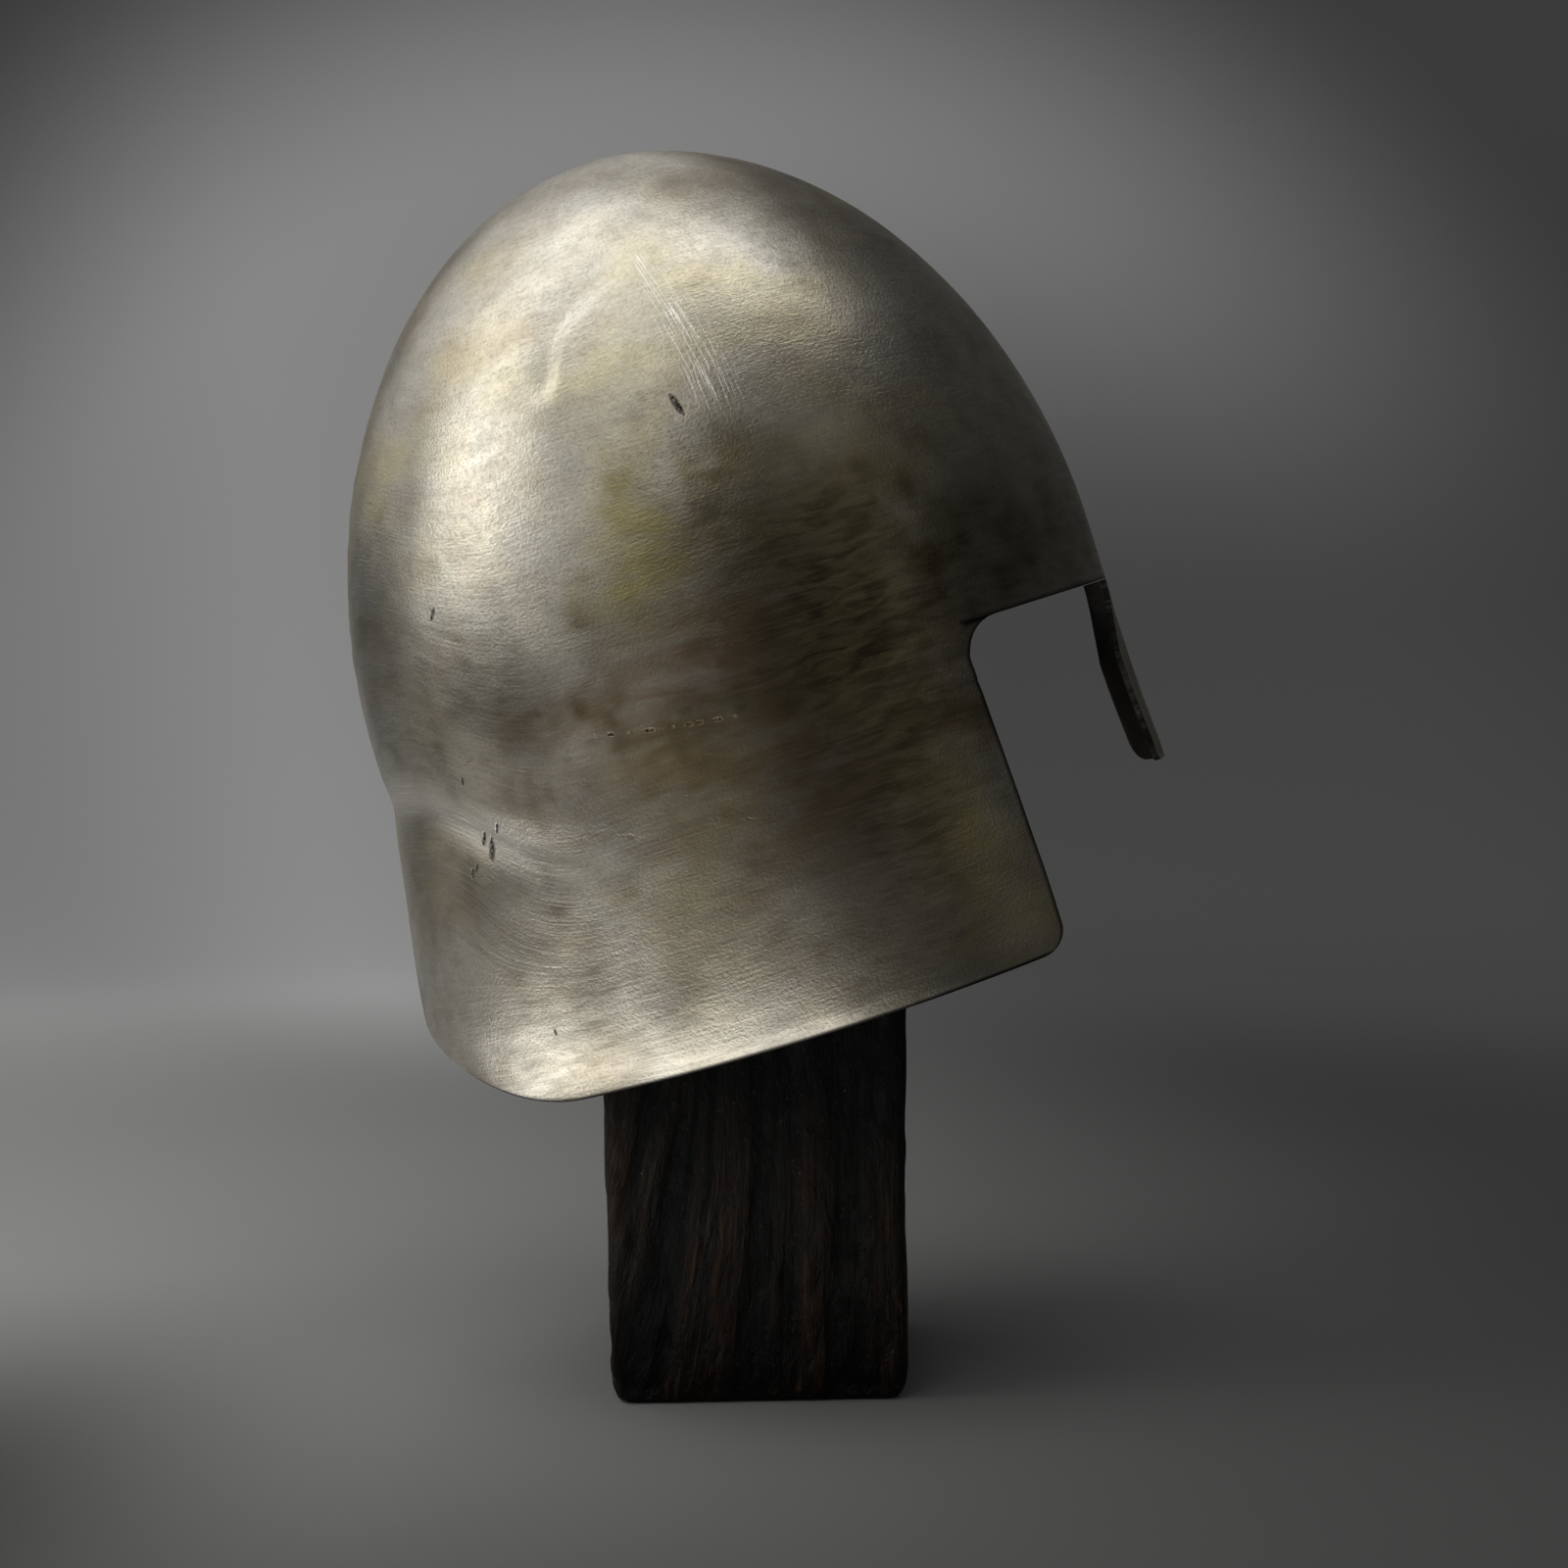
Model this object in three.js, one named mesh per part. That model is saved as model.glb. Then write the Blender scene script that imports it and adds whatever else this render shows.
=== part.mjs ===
// Raised steel nasal helm with a padded lining, set down on its timber display block.
// Millimetres, +Z up. The helm faces +X and the wearer's left is +Y.
// The origin is the centre of the block's base.
//
// The helm is drawn in its own upright frame, whose origin is the middle of the rim plane,
// and is then tipped back and set on the block as one group.

import * as THREE from 'three';

// ---- Driving dimensions -------------------------------------------------------------------

const BOWL_HEIGHT = 275; // rim plane to apex, along the helm's own axis
const BELT_HEIGHT = 117; // where the bowl is deepest and widest
const FRONT_REACH = 121.5; // helm axis to the keel at the brow
const BACK_REACH = 121.5; // helm axis to the keel behind the head
const HALF_WIDTH = 101;
const BACK_POWER = 1.85; // below 2 the crown slopes more behind than in front
const WIDTH_POWER = 2.17; // above 2 the shoulders of the bowl are fuller
const WAIST = 0.52; // widest station, as a share of the depth from back to front
const KEEL = 0.1; // how sharply the two halves meet on the medial line
const NAPE_FLARE = 16; // how far the nape kicks out behind the bowl
const FLARE_RUN = 1.15; // length of the nape's S-curve, as a share of the belt height
const SIDE_TAPER = 7; // how far each side draws in at the rim
const CHEEK_SPREAD = 2; // how far the front of the section opens at the rim
const NAPE_LIFT = 27; // how far the rim rises at the medial line behind
const NAPE_START = -87; // where along the helm the rim starts to rise

const PLATE = 2; // steel thickness
const SEAM = 0.3; // gap kept between touching pieces

const BROW_HEIGHT = 100; // lower edge of the brow above the rim plane
const CHEEK_X = 64; // front edge of the cheek at the rim
const CHEEK_LEAN = -0.054; // how the cheek edge draws back with height
const TEMPLE_RADIUS = 12;
const CHEEK_CORNER_RADIUS = 8;

const NASAL_WIDTH = 28;
const NASAL_LENGTH = 61;
const NASAL_SETBACK = 5.5; // ridge to side edges, front to back
const NASAL_KICK = 2.2; // how far the tip stands forward of the brow
const NASAL_CORNER_RADIUS = 7;

const HEADBAND_LOW = 105;
const HEADBAND_HIGH = 131;
const HEADBAND_THICKNESS = 2.2;
const LINING_CLEARANCE = 0.6; // inside of the steel to the back of the lining

const LOBE_COUNT = 6;
const LOBE_LOW = 133;
const LOBE_TOP = 272; // where the lobes end round the crown opening
const LOBE_THICKNESS = 11; // at the fullest point of the quilted lobe
const LOBE_EDGE = 0.35; // thickness at the lobe's edges, as a share of the fullest
const LOBE_GAP = 1.2; // between neighbouring lobes
const LACE_RADIUS = 13;
const LACE_THICKNESS = 3;
const LACE_DEPTH = 9; // apex to the middle of the lace

const TILT = THREE.MathUtils.degToRad(17.5); // the helm leans back on the block
const HELM_X = 31; // helm origin from the middle of the block
const HELM_Z = 124; // helm origin above the block's base

const BLOCK_WIDTH = 94;
const BLOCK_EDGE = 3.5; // chamfer on the upright edges
const FOOT_INSET = 4; // worn chamfer round the base: across, then up
const FOOT_HEIGHT = 9;
const SHOULDER_INSET = 25; // bevel round the top: across, then down
const SHOULDER_DROP = 20;
const SADDLE_HEIGHT = 360; // top of the block on its upright axis, just under the lobes
const SADDLE_SLOPE = THREE.MathUtils.degToRad(18); // the top falls towards the brow

// ---- Small helpers ------------------------------------------------------------------------

const clamp01 = (value) => Math.min(1, Math.max(0, value));
const mix = (a, b, share) => a + (b - a) * share;
const smooth = (share) => share * share * (3 - 2 * share);
const steps = (count) => Array.from({ length: count + 1 }, (_, i) => i / count);

// ---- The helm's outer skin ----------------------------------------------------------------

// How far the skin reaches from the helm axis at one height: backwards, forwards, sideways.
function reachesAt(height) {
  const rise = clamp01((height - BELT_HEIGHT) / (BOWL_HEIGHT - BELT_HEIGHT));
  const drop = Math.max(0, (BELT_HEIGHT - height) / BELT_HEIGHT);
  const flare = Math.sin((Math.PI / 2) * Math.min(1, drop / FLARE_RUN)) ** 2;
  return {
    back: BACK_REACH * Math.sqrt(1 - rise ** BACK_POWER) + NAPE_FLARE * flare,
    front: FRONT_REACH * Math.sqrt(1 - rise ** 2) + CHEEK_SPREAD * drop ** 1.5,
    side: HALF_WIDTH * Math.sqrt(1 - rise ** WIDTH_POWER) - SIDE_TAPER * drop ** 1.5,
  };
}

// A point of the skin. round runs from 0 at the brow, over PI/2 at the wearer's left, to PI
// at the back, and on over the wearer's right to 2 PI.
function skinPoint(height, round) {
  const { back, front, side } = reachesAt(height);
  const middle = -back + WAIST * (front + back);
  const forward = Math.cos(round) >= 0;
  const reach = forward ? front - middle : middle + back;
  const crease = KEEL * (1 - Math.abs(Math.sin(round))) * (forward ? 1 : -1);
  const share = (1 - KEEL) * Math.cos(round) + crease;
  return new THREE.Vector3(middle + reach * share, side * Math.sin(round), height);
}

// A point at a depth under the skin, measured square to it.
function underSkin(height, round, depth) {
  const turn = 0.02;
  const drop = 0.5;
  const point = skinPoint(height, round);
  const around = skinPoint(height, round + turn).sub(skinPoint(height, round - turn));
  const low = skinPoint(height - drop, round);
  const up = skinPoint(Math.min(BOWL_HEIGHT, height + drop), round).sub(low);
  const outward = around.cross(up).normalize();
  return point.addScaledVector(outward, -depth);
}

// The angle at which the skin crosses a fore-and-aft station, on the wearer's left.
function roundAtStation(height, x) {
  let ahead = 0;
  let behind = Math.PI;
  for (let i = 0; i < 40; i += 1) {
    const half = (ahead + behind) / 2;
    if (skinPoint(height, half).x > x) ahead = half;
    else behind = half;
  }
  return ahead;
}

// Height of the rim at a fore-and-aft station: flat, then rising behind the neck.
function rimHeightAt(x) {
  const backmost = -reachesAt(0).back;
  return NAPE_LIFT * clamp01((NAPE_START - x) / (NAPE_START - backmost)) ** 2;
}

// ---- Closed bodies from sheets and rings --------------------------------------------------

function geometryFrom(points, faces) {
  const positions = faces.flat().flatMap((index) => points[index].toArray());
  const geometry = new THREE.BufferGeometry();
  geometry.setAttribute('position', new THREE.Float32BufferAttribute(positions, 3));
  geometry.computeVertexNormals();
  return geometry;
}

// Joins two rows of point numbers, the second below the first, with faces seen from outside.
function stitch(upper, lower, faces) {
  for (let i = 0; i + 1 < upper.length; i += 1) {
    if (upper[i] !== upper[i + 1]) faces.push([upper[i], lower[i + 1], upper[i + 1]]);
    if (lower[i] !== lower[i + 1]) faces.push([upper[i], lower[i], lower[i + 1]]);
  }
}

// The outward direction of a sheet at each of its points.
function sheetNormals(points, faces) {
  const normals = points.map(() => new THREE.Vector3());
  for (const [a, b, c] of faces) {
    const ab = points[b].clone().sub(points[a]);
    const normal = ab.cross(points[c].clone().sub(points[a]));
    for (const index of [a, b, c]) normals[index].add(normal);
  }
  return normals.map((normal) => normal.normalize());
}

// Thickens an open sheet inwards into one closed plate, walled round its free edges.
// Points on a flat seam (onSeam true) keep their distance from the medial plane.
function plateFromSheet(points, faces, thickness, onSeam) {
  const normals = sheetNormals(points, faces);
  const inner = points.map((point, index) => {
    const normal = normals[index];
    if (onSeam(point)) normal.setY(0).normalize();
    return point.clone().addScaledVector(normal, -thickness);
  });
  const offset = points.length;
  const all = [...points, ...inner];
  const body = [...faces];
  const edges = new Set();
  for (const [a, b, c] of faces) {
    body.push([a + offset, c + offset, b + offset]);
    for (const [from, to] of [[a, b], [b, c], [c, a]]) edges.add(`${from} ${to}`);
  }
  for (const edge of edges) {
    const [from, to] = edge.split(' ').map(Number);
    if (edges.has(`${to} ${from}`)) continue;
    body.push([to, from, from + offset], [to, from + offset, to + offset]);
  }
  return geometryFrom(all, body);
}

// A closed band: loops of points, each loop running the same way round, joined in a circle.
function bandFromLoops(loops) {
  const size = loops[0].length;
  const faces = [];
  loops.forEach((_, row) => {
    const next = (row + 1) % loops.length;
    for (let i = 0; i < size; i += 1) {
      const j = (i + 1) % size;
      faces.push([row * size + i, next * size + i, next * size + j]);
      faces.push([row * size + i, next * size + j, row * size + j]);
    }
  });
  return geometryFrom(loops.flat(), faces);
}

// A solid post: loops of points from the bottom up, with a flat cap on each end.
function postFromLoops(loops) {
  const size = loops[0].length;
  const faces = [];
  for (let row = 0; row + 1 < loops.length; row += 1) {
    for (let i = 0; i < size; i += 1) {
      const j = (i + 1) % size;
      const low = row * size;
      const high = low + size;
      faces.push([low + i, low + j, high + j], [low + i, high + j, high + i]);
    }
  }
  const top = (loops.length - 1) * size;
  for (let i = 1; i + 1 < size; i += 1) {
    faces.push([0, i + 1, i], [top, top + i, top + i + 1]);
  }
  return geometryFrom(loops.flat(), faces);
}

// The same shape on the wearer's other side.
function mirrored(geometry) {
  const copy = geometry.clone().applyMatrix4(new THREE.Matrix4().makeScale(1, -1, 1));
  const array = copy.attributes.position.array;
  for (let i = 0; i < array.length; i += 9) {
    for (let k = i + 3; k < i + 6; k += 1) [array[k], array[k + 3]] = [array[k + 3], array[k]];
  }
  copy.computeVertexNormals();
  return copy;
}

// ---- Skull --------------------------------------------------------------------------------

// The cheek's front edge from the temple down to the rim: heights and fore-and-aft stations.
function cheekEdge() {
  const edge = [];
  const lineX = (height) => CHEEK_X + CHEEK_LEAN * height;
  for (const share of steps(4)) {
    const turn = (share * Math.PI) / 2;
    const height = BROW_HEIGHT - TEMPLE_RADIUS * (1 - Math.cos(turn));
    edge.push({ height, x: lineX(height) + TEMPLE_RADIUS * (1 - Math.sin(turn)) });
  }
  const straightTop = BROW_HEIGHT - TEMPLE_RADIUS;
  for (const share of steps(4).slice(1)) {
    const height = mix(straightTop, CHEEK_CORNER_RADIUS, share);
    edge.push({ height, x: lineX(height) });
  }
  for (const share of steps(3).slice(1)) {
    const turn = (share * Math.PI) / 2;
    const height = CHEEK_CORNER_RADIUS * (1 - Math.sin(turn));
    edge.push({ height, x: lineX(height) - CHEEK_CORNER_RADIUS * (1 - Math.cos(turn)) });
  }
  return edge;
}

// Half of the skull, on the wearer's left: the cap above the brow and the skirt below it.
function skullHalf() {
  const capRows = 10;
  const browColumns = 8;
  const skirtColumns = 16;
  const points = [];
  const faces = [];
  const add = (height, round) => {
    const point = skinPoint(height, round);
    point.y += SEAM / 2;
    return points.push(point) - 1;
  };

  const edge = cheekEdge();
  const temple = roundAtStation(edge[0].height, edge[0].x);
  const browRounds = steps(browColumns).map((share) => share * temple);
  const skirtRounds = steps(skirtColumns).slice(1).map((share) => mix(temple, Math.PI, share));
  const capRounds = [...browRounds, ...skirtRounds];

  const apex = points.push(new THREE.Vector3(0, SEAM / 2, BOWL_HEIGHT)) - 1;
  let above = capRounds.map(() => apex);
  for (const share of steps(capRows).slice(1)) {
    const height = mix(BELT_HEIGHT, BOWL_HEIGHT, Math.cos((share * Math.PI) / 2));
    const row = capRounds.map((round) => add(height, round));
    stitch(above, row, faces);
    above = row;
  }
  const brow = capRounds.map((round) => add(BROW_HEIGHT, round));
  stitch(above, brow, faces);

  const foot = edge[edge.length - 1];
  const footRound = roundAtStation(foot.height, foot.x);
  const rimHeights = steps(skirtColumns).map((share) => {
    const round = mix(footRound, Math.PI, share);
    return rimHeightAt(skinPoint(0, round).x);
  });
  above = brow.slice(browColumns);
  for (const { height, x } of edge.slice(1)) {
    const front = roundAtStation(height, x);
    const depth = (BROW_HEIGHT - height) / BROW_HEIGHT;
    const row = rimHeights.map((rim, column) => {
      const round = mix(front, Math.PI, column / skirtColumns);
      return add(mix(BROW_HEIGHT, rim, depth), round);
    });
    stitch(above, row, faces);
    above = row;
  }
  return plateFromSheet(points, faces, PLATE, (point) => point.y < SEAM);
}

// ---- Nasal --------------------------------------------------------------------------------

function nasal() {
  const half = NASAL_WIDTH / 2;
  const top = BROW_HEIGHT - SEAM;
  const tip = top - NASAL_LENGTH;
  const shares = [-1, -0.93, -0.8, -0.6, -0.3, 0, 0.3, 0.6, 0.8, 0.93, 1];
  const ridge = skinPoint(BROW_HEIGHT, 0).x;
  const browDrop = (across) => {
    const side = reachesAt(BROW_HEIGHT).side;
    return ridge - skinPoint(BROW_HEIGHT, Math.asin(Math.abs(across) / side)).x;
  };
  const corner = (across) => {
    const past = clamp01((Math.abs(across) - half + NASAL_CORNER_RADIUS) / NASAL_CORNER_RADIUS);
    return NASAL_CORNER_RADIUS * (1 - Math.sqrt(1 - past ** 2));
  };
  const points = [];
  const faces = [];
  let above = null;
  for (const down of steps(9)) {
    const row = shares.map((share) => {
      const across = -share * half;
      const height = mix(top, tip + corner(across), down);
      const vee = NASAL_SETBACK * Math.abs(share);
      const crease = mix(browDrop(across), vee, smooth(clamp01(down * 2)));
      const x = ridge + NASAL_KICK * down ** 2 - crease;
      return points.push(new THREE.Vector3(x, across, height)) - 1;
    });
    if (above) stitch(row, above, faces);
    above = row;
  }
  return plateFromSheet(points, faces, PLATE, () => false);
}

// ---- Lining -------------------------------------------------------------------------------

function headband() {
  const backed = PLATE + LINING_CLEARANCE;
  const worn = backed + HEADBAND_THICKNESS;
  const rounds = steps(48).slice(0, -1).map((share) => share * 2 * Math.PI);
  const loop = (height, depth) => rounds.map((round) => underSkin(height, round, depth));
  return bandFromLoops([
    loop(HEADBAND_HIGH, backed),
    loop(HEADBAND_LOW, backed),
    loop(HEADBAND_LOW, worn),
    loop(HEADBAND_HIGH, worn),
  ]);
}

// One quilted lobe, centred on an angle round the helm and running up to the crown opening.
function liningLobe(centre) {
  const across = steps(6);
  const along = steps(7);
  const lowTurn = Math.asin((LOBE_LOW - BELT_HEIGHT) / (BOWL_HEIGHT - BELT_HEIGHT));
  const topTurn = Math.asin((LOBE_TOP - BELT_HEIGHT) / (BOWL_HEIGHT - BELT_HEIGHT));
  const backed = PLATE + LINING_CLEARANCE;
  const full = (share) => Math.sqrt(Math.sin(Math.PI * share));
  const points = [];
  const place = (u, v, face) => {
    const turn = mix(topTurn, lowTurn, v);
    const height = mix(BELT_HEIGHT, BOWL_HEIGHT, Math.sin(turn));
    const radius = Math.max(20, reachesAt(height).side);
    const sector = Math.PI / LOBE_COUNT - LOBE_GAP / 2 / radius;
    const swell = mix(LOBE_EDGE, 1, full(u) * full(v));
    const depth = backed + (face ? LOBE_THICKNESS * swell : 0);
    return points.push(underSkin(height, centre + (u * 2 - 1) * sector, depth)) - 1;
  };
  const grid = (face) => along.map((v) => across.map((u) => place(u, v, face)));
  const back = grid(false);
  const front = grid(true);
  const faces = [];
  const girdle = back.map((row, v) => [...row, ...[...front[v]].reverse(), row[0]]);
  for (let v = 0; v + 1 < girdle.length; v += 1) stitch(girdle[v], girdle[v + 1], faces);
  stitch(front[0], back[0], faces);
  stitch(back[back.length - 1], front[front.length - 1], faces);
  return geometryFrom(points, faces);
}

// The drawstring that gathers the lobes round the crown opening.
function crownLace() {
  const ring = new THREE.TorusGeometry(LACE_RADIUS, LACE_THICKNESS / 2, 8, 32);
  return ring.translate(0, 0, BOWL_HEIGHT - PLATE - LACE_DEPTH);
}

// ---- Display block ------------------------------------------------------------------------

// A square loop with cut corners, inset from the block's sides, at a height for each point.
function blockLoop(inset, heightAt) {
  const half = BLOCK_WIDTH / 2 - inset;
  const cut = half - BLOCK_EDGE;
  const corners = [[half, cut], [cut, half]];
  return [0, 1, 2, 3].flatMap((quarter) => {
    const turn = (quarter * Math.PI) / 2;
    return corners.map(([x, y]) => {
      const point = new THREE.Vector3(x, y, 0).applyAxisAngle(new THREE.Vector3(0, 0, 1), turn);
      return point.setZ(heightAt(point.x));
    });
  });
}

function standBlock() {
  const saddle = (drop) => (x) => SADDLE_HEIGHT - x * Math.tan(SADDLE_SLOPE) - drop;
  return postFromLoops([
    blockLoop(FOOT_INSET, () => 0),
    blockLoop(0, () => FOOT_HEIGHT),
    blockLoop(0, saddle(SHOULDER_DROP)),
    blockLoop(SHOULDER_INSET, saddle(0)),
  ]);
}

// ---- Materials and assembly ---------------------------------------------------------------

const steel = () => new THREE.MeshStandardMaterial({ color: 0x8c8a80, roughness: 0.36, metalness: 1 });
const leather = () => new THREE.MeshStandardMaterial({ color: 0x4a2f1d, roughness: 0.7, metalness: 0 });
const linen = () => new THREE.MeshStandardMaterial({ color: 0xa89878, roughness: 0.95, metalness: 0 });
const cord = () => new THREE.MeshStandardMaterial({ color: 0x6b5a43, roughness: 0.9, metalness: 0 });
const timber = () => new THREE.MeshStandardMaterial({ color: 0x17110d, roughness: 0.65, metalness: 0 });

function part(name, geometry, material) {
  const mesh = new THREE.Mesh(geometry, material);
  mesh.name = name;
  return mesh;
}

const leftHalf = skullHalf();
const helm = new THREE.Group();
helm.add(part('skull_left_half', leftHalf, steel()));
helm.add(part('skull_right_half', mirrored(leftHalf), steel()));
helm.add(part('nasal', nasal(), steel()));
helm.add(part('liner_headband', headband(), leather()));
const lobeNames = ['front', 'front_left', 'back_left', 'back', 'back_right', 'front_right'];
lobeNames.forEach((name, index) => {
  const centre = (index * 2 * Math.PI) / LOBE_COUNT;
  helm.add(part(`liner_lobe_${name}`, liningLobe(centre), linen()));
});
helm.add(part('crown_lace', crownLace(), cord()));
helm.rotation.y = -TILT;
helm.position.set(HELM_X, 0, HELM_Z);

const model = new THREE.Group();
model.add(helm);
model.add(part('stand_block', standBlock(), timber()));

export default model;
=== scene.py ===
"""Looks for the nasal helm on its timber block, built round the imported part.

Metres, in the part's own frame: the helm faces +X and the wearer's left is +Y.
Shapes are worked out in millimetres in the helm's own upright frame, whose origin is the
middle of the rim plane, and are then tipped back and set on the block as the part is.
"""

import math

import bmesh
import bpy
import numpy as np
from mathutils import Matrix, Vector


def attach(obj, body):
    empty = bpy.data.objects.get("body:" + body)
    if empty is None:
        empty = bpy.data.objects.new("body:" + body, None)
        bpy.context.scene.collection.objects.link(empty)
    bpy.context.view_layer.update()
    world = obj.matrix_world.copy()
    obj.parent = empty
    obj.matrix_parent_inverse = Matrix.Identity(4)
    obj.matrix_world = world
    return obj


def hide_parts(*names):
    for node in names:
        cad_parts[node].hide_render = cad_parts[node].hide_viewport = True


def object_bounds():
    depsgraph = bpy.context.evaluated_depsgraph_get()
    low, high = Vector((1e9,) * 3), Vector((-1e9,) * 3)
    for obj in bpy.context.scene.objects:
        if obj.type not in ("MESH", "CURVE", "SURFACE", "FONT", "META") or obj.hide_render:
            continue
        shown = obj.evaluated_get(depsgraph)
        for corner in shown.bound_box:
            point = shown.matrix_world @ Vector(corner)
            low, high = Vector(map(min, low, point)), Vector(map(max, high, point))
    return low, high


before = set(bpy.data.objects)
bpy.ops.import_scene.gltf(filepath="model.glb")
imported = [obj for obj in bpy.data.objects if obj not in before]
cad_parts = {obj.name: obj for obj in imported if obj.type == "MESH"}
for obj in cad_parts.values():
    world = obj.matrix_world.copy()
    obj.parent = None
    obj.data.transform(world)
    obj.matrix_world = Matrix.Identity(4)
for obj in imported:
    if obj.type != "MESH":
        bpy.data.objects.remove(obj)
cad_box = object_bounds()

# ---- Driving dimensions, in millimetres, as in the part ----------

BOWL, BELT, BROW = 275.0, 117.0, 100.0
FRONT, BACK, HALF = 121.5, 121.5, 101.0
BACK_POWER, WIDTH_POWER, WAIST, KEEL = 1.85, 2.17, 0.52, 0.1
NAPE_FLARE, FLARE_RUN, SIDE_TAPER, CHEEK_SPREAD = 16.0, 1.15, 7.0, 2.0
NAPE_LIFT, NAPE_START = 27.0, -87.0
PLATE = 2.0
CHEEK_X, CHEEK_LEAN, TEMPLE_RADIUS, CORNER_RADIUS = 64.0, -0.054, 12.0, 8.0
NASAL_WIDTH, NASAL_LENGTH, NASAL_SETBACK = 28.0, 61.0, 5.5
NASAL_KICK, NASAL_CORNER, SEAM = 2.2, 7.0, 0.3
BAND_LOW, BAND_HIGH, BAND_THICK, CLEARANCE = 105.0, 131.0, 2.2, 0.6
LOBES, LOBE_LOW, LOBE_TOP = 6, 133.0, 272.0
LACE_RADIUS, LACE_THICK, LACE_DEPTH = 13.0, 3.0, 9.0
TILT = math.radians(17.5)
HELM_AT = np.array([31.0, 0.0, 124.0])
HEAD_MIDDLE = np.array([0.0, 0.0, 120.0])
BLOCK, BLOCK_ROUNDING, FOOT_INSET, FOOT_HEIGHT = 94.0, 4.2, 4.0, 9.0
SHOULDER_INSET, SHOULDER_DROP, SADDLE, SLOPE = 25.0, 20.0, 360.0, math.radians(18)

CAP_ROWS, BELT_ROWS, BROW_COLUMNS, SKIRT_COLUMNS = 118, 10, 70, 140


# ---- Numbers -----------------------------------------------------


def clip01(value):
    return np.clip(value, 0.0, 1.0)


def ramp(value, low, high):
    """0 below low, 1 above high, smooth between; low may be above high."""
    share = clip01((np.asarray(value, float) - low) / (high - low))
    return share * share * (3 - 2 * share)


def mix(a, b, share):
    return a + (b - a) * share


def noise(points, cell, seed):
    """Smooth noise from -1 to 1, with one random number at each corner of a cubic grid."""
    q = np.asarray(points, float) / cell
    base = np.floor(q)
    part = q - base
    part = part * part * (3 - 2 * part)
    base = base.astype(np.int64)
    total = np.zeros(len(q))
    for corner in range(8):
        step = np.array([corner & 1, corner >> 1 & 1, corner >> 2 & 1])
        key = base + step
        code = key[:, 0] * 73856093 ^ key[:, 1] * 19349663 ^ key[:, 2] * 83492791
        code = (code ^ seed * 2654435761) & 0xFFFFFFFF
        code = (code ^ code >> 15) * 2246822519 & 0xFFFFFFFF
        code = (code ^ code >> 13) * 3266489917 & 0xFFFFFFFF
        code = code ^ code >> 16
        weight = np.prod(np.where(step == 1, part, 1 - part), axis=1)
        total += weight * (code / 2147483647.5 - 1)
    return total


def layered(points, cell, seed, layers=3):
    """Noise with finer layers added, each at half the size and strength."""
    total = sum(noise(points, cell / 2**k, seed + k) / 2**k for k in range(layers))
    return total / (2 - 0.5 ** (layers - 1))


def to_path(u, v, path):
    """Signed distance from points (u, v) to a line through path, and how far along it."""
    best = np.full(len(u), 1e9)
    side = np.zeros(len(u))
    run = np.zeros(len(u))
    done = 0.0
    for (au, av), (bu, bv) in zip(path, path[1:]):
        du, dv = bu - au, bv - av
        length = math.hypot(du, dv)
        share = clip01(((u - au) * du + (v - av) * dv) / length**2)
        away = np.hypot(u - au - share * du, v - av - share * dv)
        nearer = away < best
        turn = np.sign(du * (v - av) - dv * (u - au))
        best = np.where(nearer, away, best)
        side = np.where(nearer, turn, side)
        run = np.where(nearer, done + share * length, run)
        done += length
    return best * side, run / done


# ---- The helm's skin ---------------------------------------------


def reaches(height):
    rise = clip01((height - BELT) / (BOWL - BELT))
    drop = np.maximum(0, (BELT - height) / BELT)
    flare = np.sin(math.pi / 2 * np.minimum(1, drop / FLARE_RUN)) ** 2
    back = BACK * np.sqrt(1 - rise**BACK_POWER) + NAPE_FLARE * flare
    front = FRONT * np.sqrt(1 - rise**2) + CHEEK_SPREAD * drop**1.5
    side = HALF * np.sqrt(1 - rise**WIDTH_POWER) - SIDE_TAPER * drop**1.5
    return back, front, side


def skin(height, turn):
    """A point of the outer skin. turn is 0 at the brow and PI behind, by the wearer's left."""
    height, turn = np.broadcast_arrays(np.asarray(height, float), np.asarray(turn, float))
    back, front, side = reaches(height)
    middle = -back + WAIST * (front + back)
    forward = np.cos(turn) >= 0
    reach = np.where(forward, front - middle, middle + back)
    crease = KEEL * (1 - np.abs(np.sin(turn))) * np.where(forward, 1, -1)
    share = (1 - KEEL) * np.cos(turn) + crease
    return np.stack([middle + reach * share, side * np.sin(turn), height], axis=-1)


def under_skin(height, turn, depth):
    """A point at a depth under the skin, measured square to it."""
    height = np.minimum(height, BOWL - 0.5)
    around = skin(height, turn + 0.02) - skin(height, turn - 0.02)
    up = skin(height + 0.5, turn) - skin(height - 0.5, turn)
    out = np.cross(around, up)
    out /= np.linalg.norm(out, axis=-1, keepdims=True)
    return skin(height, turn) - out * np.asarray(depth, float)[..., None]


def turn_at(height, x):
    """The angle at which the skin crosses a fore-and-aft station, on the wearer's left."""
    ahead, behind = 0.0, math.pi
    for _ in range(40):
        half = (ahead + behind) / 2
        if skin(height, half)[0] > x:
            ahead = half
        else:
            behind = half
    return ahead


def rim_at(x):
    backmost = -reaches(np.array(0.0))[0]
    return NAPE_LIFT * clip01((NAPE_START - x) / (NAPE_START - backmost)) ** 2


def cheek_line(height):
    """Fore-and-aft station of the cheek's front edge."""
    fillet = clip01(1 - (BROW - height) / TEMPLE_RADIUS)
    corner = clip01(1 - height / CORNER_RADIUS)
    x = CHEEK_X + CHEEK_LEAN * height
    x = x + TEMPLE_RADIUS * (1 - np.sqrt(1 - fillet**2))
    return x - CORNER_RADIUS * (1 - np.sqrt(1 - corner**2))


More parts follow.
